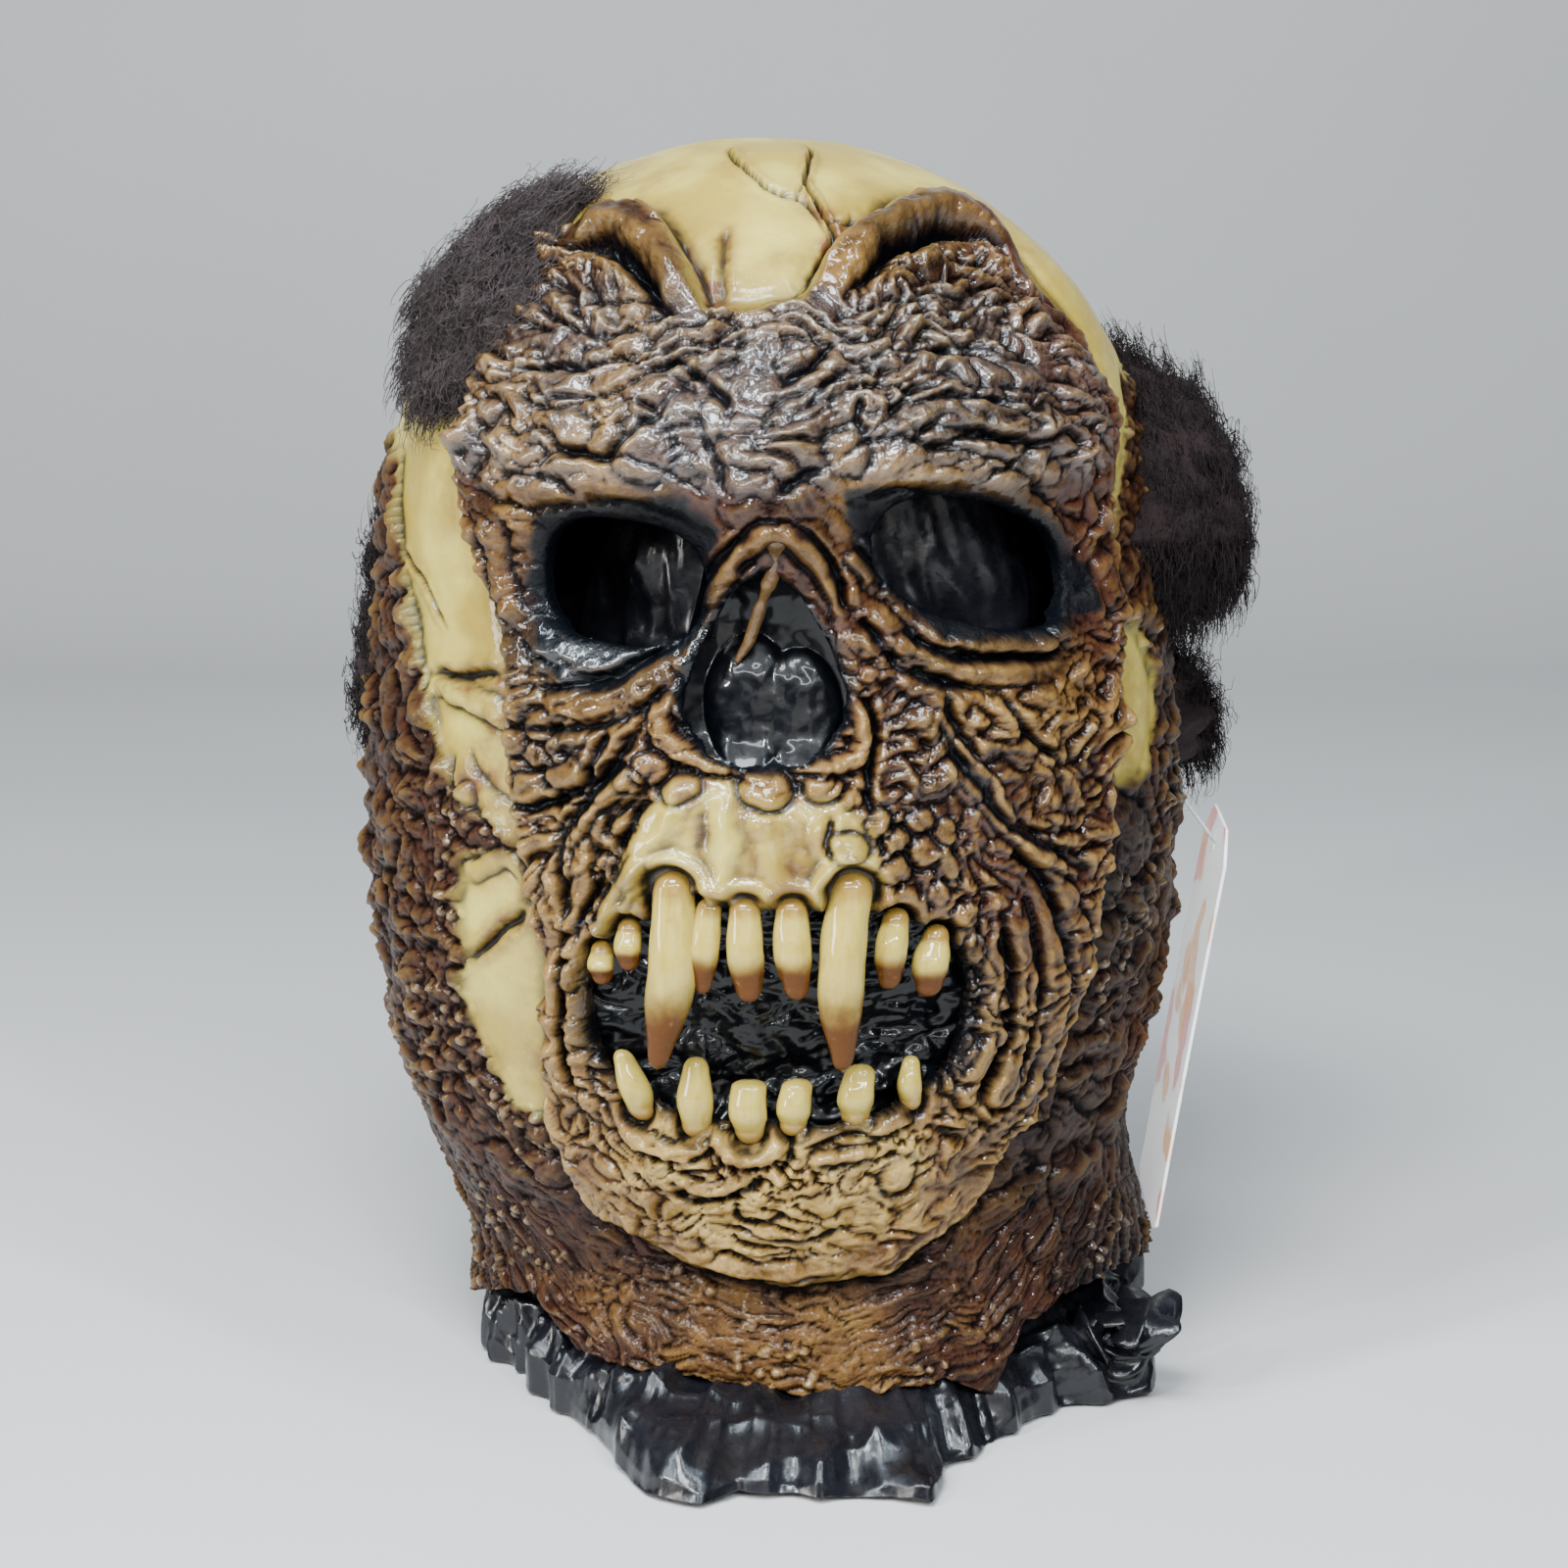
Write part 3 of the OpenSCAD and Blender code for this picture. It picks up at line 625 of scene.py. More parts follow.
def skin_areas(a, w, q, p):
    """Where the bone, the flesh and the parts of the face are, each from 0 to 1."""
    waver = 2.6 * noise(p / 15, 1) + 1.3 * noise(p / 5.5, 2) + 0.5 * noise(p / 2.4, 3)
    face = ease(3.2, -1.6, near_outline(q, FACE_EDGE, 30) + 0.8 * waver)
    side = ease(2, -2, w - np.interp(a, *zip(*SIDE_EDGE)) + 1.6 * waver) * (1 - face)
    side_bone = inside_any(q, SIDE_BONES, 2.4, -2.0, 0.7 * waver)
    side_flesh = side * (1 - side_bone * (1 - face))
    flesh = np.maximum(face, side_flesh)
    upper_jaw = inside_any(q, [UPPER_JAW], 1.5, -1.5, 0.35 * waver)
    chin = face * ease(84, 68, w)
    return {
        "face": face,
        "side_flesh": side_flesh,
        "flesh": flesh,
        "bone": np.maximum(1 - flesh, upper_jaw),
        "upper_jaw": upper_jaw,
        "sockets": inside_any(q, SOCKETS, 4, -5, 0.8 * waver),
        "chin": chin,
        "muzzle": face * ease(215, 190, w) * (1 - chin),
        "forehead": face * ease(256, 268, w),
        "neck": ease(72, 40, w + 6 * noise(p / 22, 8) - 0.1 * np.abs(a)) * (1 - face),
        "level": holes(a, w),
    }


def face_grain(a, w, q, p, area):
    """Height of the wrinkled flesh of the face. Each part of the face has its own grain."""
    face, muzzle, forehead = area["face"], area["muzzle"], area["forehead"]
    around = np.arctan2(q[:, 1] - 126, q[:, 0])
    ringed = np.stack([around * 5, np.hypot(q[:, 0], (q[:, 1] - 126) * 1.12) / 5], 1)
    ringed += 0.45 * shifts(p / 9, 43, 44)
    to_right = ease(0, 30, a) * ease(66, 82, np.hypot(a, (w - 126) * 1.15))
    cheek = face * ease(190, 205, w) * ease(268, 256, w) + muzzle * to_right
    grain = np.zeros(len(a))
    for mask, field, seed, gain in (
        (forehead, q / (16, 7.2), 21, 4.4),
        (forehead * ease(-0.1, 0.5, noise(p / 20, 29)), q / (5.2, 3.4), 25, 1.1),
        (area["chin"], q / (11, 6.4), 31, 3.6),
        (muzzle * (1 - to_right), ringed / (0.62, 1.45), 41, 4.2),
        (cheek, q / (11, 8), 51, 3.6),
    ):
        here = np.flatnonzero(mask > 0.01)
        grain[here] += gain * mask[here] * (puffs(field[here], seed, 0.38) - 0.35)
    here = np.flatnonzero(cheek > 0.01)
    knobs = ease(0.0, 0.5, noise(p[here] / 16, 57)) * cheek[here]
    grain[here] += 1.7 * knobs * pebbles(q[here] / (5.2, 4.4), 55, 0.55)
    return grain


def side_grain(a, q, p, warp, neck):
    """Height of the flesh beside and behind the face: lumps, and long wrinkles on the neck."""
    bent = p + 2.2 * shifts(p / 7, 68, 69, 70)
    lumpy = 3.4 * (puffs(bent / (17, 17, 12), 71, 0.42) - 0.35)
    lumpy += 1.5 * pebbles(bent / 6.5, 73, 0.5) * ease(-0.1, 0.4, noise(p / 22, 74))
    chin_way = np.stack([np.arctan2(q[:, 1] - 150, q[:, 0] - 5) * 6.5,
                         np.hypot(q[:, 0] * 0.9, q[:, 1] - 150) / 5.5], 1)
    wrinkled = 2.0 * (puffs(chin_way + warp * 0.12, 75) - 0.35)
    share = neck * ease(270, 220, np.abs(a))
    return lumpy * (1 - share) + wrinkled * share - 0.8


def glossy_beads(p):
    """Glossy beads in clusters, for the sides of the head and neck."""
    first, _, number = cells(p / 4.2, 81)
    cluster = ease(-0.05, 0.35, noise(p / 24, 83) + 0.2 * noise(p / 9, 84))
    size = 0.22 + 0.24 * number
    return np.sqrt(np.clip(1 - (first / size) ** 2, 0, 1)) * cluster * (number > 0.3)


def sculpt(a, w, p):
    """Height in millimetres over the smooth head at its points p, and the areas that the paint follows."""
    q = np.stack([a, w], 1)
    area = skin_areas(a, w, q, p)
    face, bone, upper_jaw, forehead = (area[k] for k in ("face", "bone", "upper_jaw", "forehead"))
    drawn, wash, sleek = hand_sculpted(q)

    warp = 6 * shifts(p / 19, 11, 12) + 2.2 * shifts(p / 6, 13, 14)
    grain = face_grain(a, w, q + warp, p, area)
    beads = np.zeros(len(a))
    outside = np.flatnonzero((area["flesh"] > 0.01) & (face < 0.99))
    share = (area["flesh"] * (1 - face))[outside]
    grain[outside] += share * side_grain(*(values[outside] for values in (a, q, p, warp, area["neck"])))
    beads[outside] = share * glossy_beads(p[outside])
    grain *= 1 + 0.45 * noise(p / 16, 58)

    # where the flesh is calmer: the middle of the forehead, the folds' crests, the lower lids
    calm = 1 - 0.7 * bell(a, w, (-4, 298), (12, 26)) * forehead
    for less in (0.6 * bell(a, w, (-46, 224), (26, 9)), 0.5 * bell(a, w, (0, 246), (22, 16)),
                 0.7 * area["sockets"], 0.94 * upper_jaw, 0.5 * ease(92, 112, a) * forehead, sleek,
                 0.9 * np.clip(bone - upper_jaw, 0, 1)):
        calm *= 1 - less

    height = face * (SLAB_RISE - 3.6 * ease(268, 326, w)) + 1.6 * area["side_flesh"]
    height -= 1.3 * np.exp(-((near_outline(q, FACE_EDGE, 30) - 4.5) / 3) ** 2) * (1 - face)
    height += grain * calm + 1.5 * beads + drawn
    # bone: broad dents, and a swelling beside the forehead on the wearer's left
    height += bone * (0.9 * noise(p / 26, 91) + 0.3 * noise(p / 9, 92))
    height += (3.6 * bone - 2.2 * face) * bell(a, w, (140, 318), (34, 40)) + 1.2 * upper_jaw
    # the skin rolls in at its openings
    height -= 2.2 * np.exp(-np.clip(area["level"], 0, None) / 2.2)
    return height, area | {"beads": beads, "wash": wash}


def blur(field, size):
    """A soft blur of a grid that closes on itself sideways."""
    taps = np.exp(-((np.arange(-2 * size, 2 * size + 1) / size) ** 2))
    taps /= taps.sum()
    out = sum(t * np.roll(field, k - 2 * size, 1) for k, t in enumerate(taps))
    padded = np.pad(out, ((2 * size, 2 * size), (0, 0)), mode="edge")
    return sum(t * padded[k : k + len(field)] for k, t in enumerate(taps))


# ---------------------------------------------------------------------------
# Mesh helpers
# ---------------------------------------------------------------------------
def make_object(name, points, faces, smooth=True):
    """A mesh object from points in metres and a list of arrays of faces, each (n, corners)."""
    mesh = bpy.data.meshes.new(name)
    mesh.vertices.add(len(points))
    mesh.vertices.foreach_set("co", np.asarray(points, np.float32).ravel())
    groups = [np.asarray(f, np.int32) for f in faces if len(f)]
    loops = np.concatenate([g.ravel() for g in groups])
    sizes = np.concatenate([np.full(len(g), g.shape[1], np.int32) for g in groups])
    mesh.loops.add(len(loops))
    mesh.loops.foreach_set("vertex_index", loops)
    mesh.polygons.add(len(sizes))
    starts = np.concatenate([[0], np.cumsum(sizes)[:-1]])
    mesh.polygons.foreach_set("loop_start", starts.astype(np.int32))
    mesh.polygons.foreach_set("use_smooth", np.full(len(sizes), smooth))
    mesh.update(calc_edges=True)
    mesh.validate()
    obj = bpy.data.objects.new(name, mesh)
    bpy.context.scene.collection.objects.link(obj)
    return obj


def set_attribute(obj, name, values):
    layer = obj.data.attributes.new(name, "FLOAT", "POINT")
    layer.data.foreach_set("value", np.asarray(values, np.float32))


def grid_faces(rows, cols, wrap):
    """Quads of a grid of points, closed sideways if wrap."""
    i, j = np.meshgrid(np.arange(rows - 1), np.arange(cols if wrap else cols - 1), indexing="ij")
    i, j = i.ravel(), j.ravel()
    k = (j + 1) % cols
    return np.stack([i * cols + j, i * cols + k, (i + 1) * cols + k, (i + 1) * cols + j], 1)


def border(n):
    """The points round the edge of an n by n grid, in order."""
    count = n * n
    return np.concatenate([np.arange(n), np.arange(2 * n - 1, count, n),
                           np.arange(count - 2, count - n - 1, -1), np.arange(count - 2 * n, 0, -n)])


def panel_faces(n):
    """Faces of a closed panel: an n by n front, the same grid behind it, and the sides between."""
    quads = grid_faces(n, n, False)
    ring, count = border(n), n * n
    after = np.roll(ring, -1)
    return [quads, quads[:, ::-1] + count, np.stack([after, ring, ring + count, after + count], 1)]


def turned(count):
    """Angles of count points round a circle."""
    return np.linspace(0, 2 * math.pi, count, endpoint=False)


def unit(v):
    return v / np.linalg.norm(v, axis=-1, keepdims=True)


def square_to(path, up=(0.0, 1.0, 0.0), axis=0):
    """Two directions square to a path at each of its points."""
    way = unit(np.gradient(path, axis=axis))
    side = unit(np.cross(way, up))
    return side, np.cross(way, side)


def rings(path, turn, radii):
    """Points of rings round a path. Their angles and radii may change along it."""
    side, other = square_to(path)
    ring = np.cos(turn)[..., None] * side[:, None] + np.sin(turn)[..., None] * other[:, None]
    return path[:, None] + ring * radii[..., None]


def band(first, second):
    """Quads between two closed rings of points."""
    return np.stack([first, second, np.roll(second, -1), np.roll(first, -1)], 1)


def end_caps(rows, sides):
    """One face across each end of a grid that closes sideways."""
    ring = np.arange(sides)[None]
    return [ring[:, ::-1], ring + (rows - 1) * sides]


def square_grid(n):
    """Two coordinates from -1 to 1 at the points of an n by n grid."""
    line = np.linspace(-1, 1, n)
    return (axis.ravel() for axis in np.meshgrid(line, line, indexing="ij"))


def place(obj, material, body, slot, *nodes):
    """Gives a piece its material and body, and hides the CAD nodes that it stands for."""
    obj.data.materials.append(material)
    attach(obj, body)
    if nodes:
        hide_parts(*nodes)


# ---------------------------------------------------------------------------
# Materials
# ---------------------------------------------------------------------------
class Nodes:
    """Short calls that add nodes to one material."""

    def __init__(self, name):
        self.material = bpy.data.materials.new(name)
        self.material.use_nodes = True
        self.tree = self.material.node_tree
        self.shader = self.tree.nodes["Principled BSDF"]
        self.where = self.tree.nodes.new("ShaderNodeTexCoord").outputs["Object"]

    def set(self, **values):
        for name, value in values.items():
            self.shader.inputs[name.replace("_", " ")].default_value = value

    def link(self, value, socket):
        if isinstance(value, bpy.types.NodeSocket):
            self.tree.links.new(value, socket)
        elif isinstance(value, tuple):
            socket.default_value = (*value, 1.0)[: len(socket.default_value)]
        else:
            socket.default_value = value

    def output(self, name, value):
        self.link(value, self.shader.inputs[name])

    def new(self, kind, **inputs):
        node = self.tree.nodes.new("ShaderNode" + kind)
        for name, value in inputs.items():
            self.link(value, node.inputs[name])
        return node

    def attribute(self, name):
        node = self.new("Attribute")
        node.attribute_name = name
        return node.outputs["Fac"]

    def noise(self, scale, detail=4.0, roughness=0.55, stretch=None, warp=0.0):
        node = self.new("TexNoise", Scale=scale, Detail=detail, Roughness=roughness, Distortion=warp)
        where = self.where
        if stretch:
            where = self.new("Mapping", Scale=stretch, Vector=self.where).outputs["Vector"]
        self.link(where, node.inputs["Vector"])
        return node.outputs["Fac"]

    def math(self, kind, a, b=0.0, c=0.0):
        node = self.new("Math")
        node.operation = kind
        for socket, value in zip(node.inputs, (a, b, c)):
            self.link(value, socket)
        return node.outputs[0]

    def range(self, value, low, high, out_low=0.0, out_high=1.0):
        node = self.new("MapRange")
        node.interpolation_type = "SMOOTHSTEP"
        for socket, number in zip(node.inputs, (value, low, high, out_low, out_high)):
            self.link(number, socket)
        return node.outputs["Result"]

    def mix(self, share, a, b):
        node = self.new("Mix")
        node.data_type = "RGBA"
        # the colour inputs of a Mix node are its seventh and eighth
        for number, value in ((0, share), (6, a), (7, b)):
            self.link(value, node.inputs[number])
        return node.outputs[2]

    def bump(self, height, strength, distance, before=None):
        node = self.new("Bump", Strength=strength, Distance=distance, Height=height)
        if before is not None:
            self.link(before, node.inputs["Normal"])
        return node.outputs["Normal"]

    def rough(self, pattern, low, high):
        self.output("Roughness", self.range(pattern, 0.3, 0.7, low, high))


def skin_paint():
    """Painted latex: dark brown flesh with an ochre dry brush and a black wash, yellow bone with a brown
    glaze, and painted shade on the sides and by the face's edge.
    """
    m = Nodes("painted_latex")
    bone, cavity, crest = m.attribute("bone"), m.attribute("cavity"), m.attribute("crest")
    tone, black, red = m.attribute("tone"), m.attribute("black"), m.attribute("red")
    wide, mid, fine = m.noise(38, 3), m.noise(150, 4, 0.6), m.noise(620, 4, 0.65)

    brown = m.mix(m.range(mid, 0.35, 0.68), (0.011, 0.0040, 0.0024), (0.046, 0.0155, 0.0068))
    ochre = m.mix(m.range(mid, 0.3, 0.7), (0.082, 0.034, 0.0085), (0.235, 0.122, 0.028))
    straw = m.mix(m.range(mid, 0.3, 0.7), (0.32, 0.178, 0.034), (0.71, 0.50, 0.145))
    share = m.math("ADD", tone, m.range(wide, 0.3, 0.7, -0.14, 0.14))
    flesh = m.mix(m.range(share, 0.0, 0.55), brown, ochre)
    flesh = m.mix(m.range(share, 0.45, 1.0), flesh, straw)
    russet = m.math("MULTIPLY", red, m.range(mid, 0.3, 0.62, 0.35, 0.9))
    flesh = m.mix(russet, flesh, (0.062, 0.0145, 0.0070))
    flesh = m.mix(m.math("MULTIPLY", crest, 0.62), flesh, (0.36, 0.21, 0.060))
    bare = m.mix(m.range(wide, 0.34, 0.7), (0.44, 0.315, 0.045), (0.66, 0.545, 0.115))
    bare = m.mix(m.range(fine, 0.56, 0.8, 0, 0.35), bare, (0.26, 0.14, 0.03))
    colour = m.mix(bone, flesh, bare)
    glaze_and_painted_shade = m.math("MULTIPLY", m.attribute("glaze_and_painted_shade"), m.range(mid, 0.3, 0.65, 0.4, 1.0))
    # brown glaze on the bone, with painted shade by the face's edge and under the nose
    colour = m.mix(glaze_and_painted_shade, colour, (0.15, 0.055, 0.012))
    wash = m.math("MULTIPLY", cavity, m.range(fine, 0.2, 0.6, 0.8, 1.0))
    colour = m.mix(wash, colour, (0.0035, 0.0020, 0.0016))
    # black paint, with the painted shade of the sides mixed in; its slight blue is a painted bluish
    # reflection
    colour = m.mix(black, colour, (0.0024, 0.0034, 0.0052))
    m.output("Base Color", colour)

    dull = m.range(mid, 0.3, 0.7, 0.34, 0.55)
    m.output("Roughness", m.math("ADD", dull, m.math("MULTIPLY", bone, 0.02)))
    sheen = m.range(m.attribute("wet"), 0.8, 1.0, 0.10, 0.66)
    flesh_share = m.math("SUBTRACT", m.math("SUBTRACT", 1.0, bone), m.math("MULTIPLY", cavity, 0.9))
    flesh_share = m.math("MAXIMUM", flesh_share, 0.0)
    m.output("Specular IOR Level", m.math("MULTIPLY_ADD", sheen, flesh_share, m.math("MULTIPLY", bone, 0.35)))
    gloss = m.math("MULTIPLY", m.attribute("wet"), m.range(mid, 0.25, 0.6, 0.45, 1.0))
    m.output("Coat Weight", m.math("MULTIPLY", gloss, m.range(cavity, 0, 1, 1.0, 0.2)))
    m.set(Coat_Roughness=0.07, Coat_IOR=1.6)
    grain = m.bump(m.noise(1500, 3, 0.6), 0.2, 0.0004)
    bumps = m.math("MULTIPLY", m.noise(430, 4, 0.6), m.range(bone, 0, 1, 1.0, 0.06))
    m.output("Normal", m.bump(bumps, 0.7, 0.0016, grain))
    m.output("Coat Normal", m.bump(m.noise(360, 3, 0.5), 0.22, 0.0010))
    return m.material


def lining_paint():
    """Black gloss, tinted blue as a painted bluish reflection, with a little brown in its folds."""
    m = Nodes("black_latex")
    mid = m.noise(120, 4, 0.6)
    brown = m.range(mid, 0.45, 0.8, 0, 0.5)
    # the slight blue in the black is a painted bluish reflection
    m.output("Base Color", m.mix(brown, (0.0016, 0.0022, 0.0036), (0.007, 0.0036, 0.0028)))
    m.rough(m.noise(300, 3), 0.26, 0.4)
    m.set(Specular_IOR_Level=0.2, Coat_Weight=0.36, Coat_Roughness=0.08)
    m.output("Normal", m.bump(m.noise(180, 3, 0.5), 0.2, 0.0012))
    return m.material


def tooth_paint():
    """Ivory resin, brown at the tip and dark round the root, with fine lengthwise streaks."""
    m = Nodes("tooth_resin")
    along = m.attribute("along")
    streak = m.noise(240, 4, 0.6, stretch=(1.6, 1.6, 0.22))
    spot = m.noise(330, 4, 0.65)
    ivory = m.mix(m.range(streak, 0.2, 0.8), (0.43, 0.30, 0.046), (0.59, 0.47, 0.105))
    tip = m.range(m.math("ADD", along, m.math("MULTIPLY", m.noise(130, 3), 0.28)), 0.60, 0.95, 0, 0.97)
    colour = m.mix(m.range(streak, 0.52, 0.8, 0, 0.6), ivory, (0.34, 0.17, 0.028))
    colour = m.mix(tip, colour, (0.088, 0.024, 0.0042))
    root = m.range(m.math("SUBTRACT", along, m.math("MULTIPLY", spot, 0.14)), 0.04, -0.14, 0, 0.75)
    colour = m.mix(root, colour, (0.26, 0.125, 0.022))
    colour = m.mix(m.range(spot, 0.60, 0.78, 0, 0.5), colour, (0.34, 0.155, 0.045))
    m.output("Base Color", colour)
    m.rough(spot, 0.22, 0.42)
    m.output("Coat Weight", m.range(tip, 0, 0.8, 0.9, 0.12))
    m.set(Coat_Roughness=0.05, Coat_IOR=1.6, Specular_IOR_Level=0.12)
    m.output("Normal", m.bump(spot, 0.3, 0.0005))
    return m.material


def hair_paint():
    """Dark brown crepe hair."""
    m = Nodes("crepe_hair")
    wide = m.noise(70, 3)
    fine = m.noise(900, 4, 0.7)
    dark = m.mix(m.range(wide, 0.3, 0.7), (0.0042, 0.0014, 0.0019), (0.0150, 0.0056, 0.0064))
    brown = m.mix(m.range(fine, 0.4, 0.75, 0, 0.5), dark, (0.043, 0.020, 0.018))
    m.output("Base Color", m.mix(m.attribute("dusty"), brown, (0.105, 0.082, 0.080)))
    m.rough(fine, 0.55, 0.8)
    m.set(Sheen_Weight=0.03, Sheen_Roughness=0.4, Specular_IOR_Level=0.22)
    m.output("Normal", m.bump(fine, 0.8, 0.0012))
    return m.material


def bag_paint():
    """Thin black plastic film."""
    m = Nodes("black_film")
    mid = m.noise(55, 4, 0.6)
    m.output("Base Color", m.mix(m.range(mid, 0.35, 0.7), (0.004, 0.004, 0.006), (0.011, 0.011, 0.015)))
    m.rough(m.noise(240, 3), 0.20, 0.34)
    m.set(Specular_IOR_Level=0.55)
    m.output("Normal", m.bump(m.noise(90, 3, 0.5, warp=0.5), 0.3, 0.0016))
    return m.material


def card_paint():
    """White coated card with a faint abstract print, made to glow a little as painted light."""
    m = Nodes("white_card")
    blot = m.noise(34, 2, 0.4)
    bands = m.noise(48, 1, 0.3)
    print_here = m.math("SUBTRACT", 1.0, m.attribute("blank"))
    red = m.math("MULTIPLY", m.range(blot, 0.57, 0.61, 0, 0.75), print_here)
    amber = m.math("MULTIPLY", m.range(bands, 0.61, 0.64, 0, 0.75), print_here)
    colour = m.mix(amber, m.mix(red, (0.93, 0.93, 0.93), (0.74, 0.20, 0.19)), (0.80, 0.40, 0.12))
    m.output("Base Color", m.mix(m.range(m.noise(900, 3), 0.3, 0.7, 0, 0.05), colour, (0.7, 0.68, 0.65)))
    # painted light: the card glows in its own colours so that its shaded face reads bright
    m.output("Emission Color", colour)
    m.rough(m.noise(400, 3), 0.26, 0.4)
    m.set(Emission_Strength=0.55)
    m.output("Normal", m.bump(m.noise(1300, 3), 0.08, 0.0003))
    return m.material


def nylon_paint():
    """Clear nylon, a little milky."""
    m = Nodes("clear_nylon")
    m.output("Base Color", m.mix(m.noise(500, 2), (0.72, 0.72, 0.72), (0.86, 0.86, 0.87)))
    m.rough(m.noise(700, 2), 0.2, 0.34)
    m.set(Transmission_Weight=0.35, IOR=1.5)
    return m.material


# ---------------------------------------------------------------------------
# The latex skin
# ---------------------------------------------------------------------------
# Spots of paint: strength, middle and half size on the map. First painted shade: darker flesh beside the
# muzzle, on the cheeks and beside the mouth
SHADE_SPOTS = [
    (1, (64, 150), (18, 26)), (1, (35, 189), (11, 14)),
    (0.8, (-50, 195), (17, 13)), (0.5, (-44, 158), (12, 20)),
]
# how light the flesh is brushed, on the chin and elsewhere
CHIN_TONES = [(0.70, (0, 68), (48, 22)), (0.2, (-4, 90), (46, 12))]
TONES = [
    (0.30, (-36, 208), (26, 8)), (0.12, (-44, 268), (30, 8)), (0.34, (48, 266), (38, 8)),
    (0.60, (62, 208), (28, 11)), (-0.08, (-2, 222), (26, 34)), (0.25, (-3, 216), (27, 22)),
    (-0.3, (34, 180), (14, 26)), (0.16, (78, 190), (24, 22)), (-0.3, (0, 86), (26, 5)),
]
RED_SPOTS = [
    (0.9, (0, 228), (28, 32)), (0.8, (-26, 200), (9, 14)), (0.8, (18, 200), (8, 14)),
    (0.5, (68, 142), (18, 26)), (0.7, (48, 166), (24, 26)), (0.45, (-50, 248), (40, 16)),
]
# The grid is fine this far from the face's middle and between these heights, and HEM_ROOM is the
# height between the hem and FINE_LOW
FINE_HALF, FINE_LOW, FINE_HIGH, HEM_ROOM = 115, 60, 352, 46


def skin_map():
    """The grid of the skin: distance round the head and height on its map, finest at the face."""
    fine, plain, high = ((0.62, 1.25, 1.6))

    def steps(start, end, size):
        return np.linspace(start, end, round((end - start) / size), endpoint=False)

    a = np.concatenate([steps(-BACK, -FINE_HALF, plain), steps(-FINE_HALF, FINE_HALF, fine),
                        steps(FINE_HALF, BACK, plain)])
    low = np.linspace(0, 1, round(HEM_ROOM / fine), endpoint=False)
    top = np.linspace(FINE_HIGH, TOP_W - 0.8, round((TOP_W - FINE_HIGH) / high))
    w = np.concatenate([steps(FINE_LOW, FINE_HIGH, fine), top])
    hem = hem_height(a) + 0.7 * noise(np.stack([a / 4, a * 0], 1), 5)
    bottom = hem[None, :] + (FINE_LOW - hem[None, :]) * low[:, None]
    whole = np.concatenate([bottom, np.repeat(w[:, None], len(a), 1)])
    return np.repeat(a[None, :], len(whole), 0), whole


def hole_slope(a, w, here, step):
    """Which way, and how fast, the distance from the nearest opening grows."""
    return np.stack([holes(a + step, w) - here, holes(a, w + step) - here], 1) / step


def fit_to_holes(a, w):
    """Moves the grid points nearest to an opening onto its edge, and returns which quads stay."""
    rows, cols = a.shape
    level = holes(a.ravel(), w.ravel()).reshape(a.shape)
    right = np.roll(level, -1, 1)
    keep = (level[:-1] + right[:-1] + level[1:] + right[1:]) > 0
    touched = np.zeros((2, rows, cols), bool)
    for state in (0, 1):
        quads = keep if state else ~keep
        for di, shift in itertools.product((0, 1), (0, 1)):
            touched[state, di : rows - 1 + di] |= np.roll(quads, shift, 1)
    edge = touched[0] & touched[1]
    x, y = a[edge], w[edge]
    for _ in range(4):
        here = holes(x, y)
        across, up = hole_slope(x, y, here, 0.05).T
        size = np.maximum(across**2 + up**2, 0.2)
        x, y = x - here * across / size, y - here * up / size
    a[edge], w[edge] = x, y
    return keep


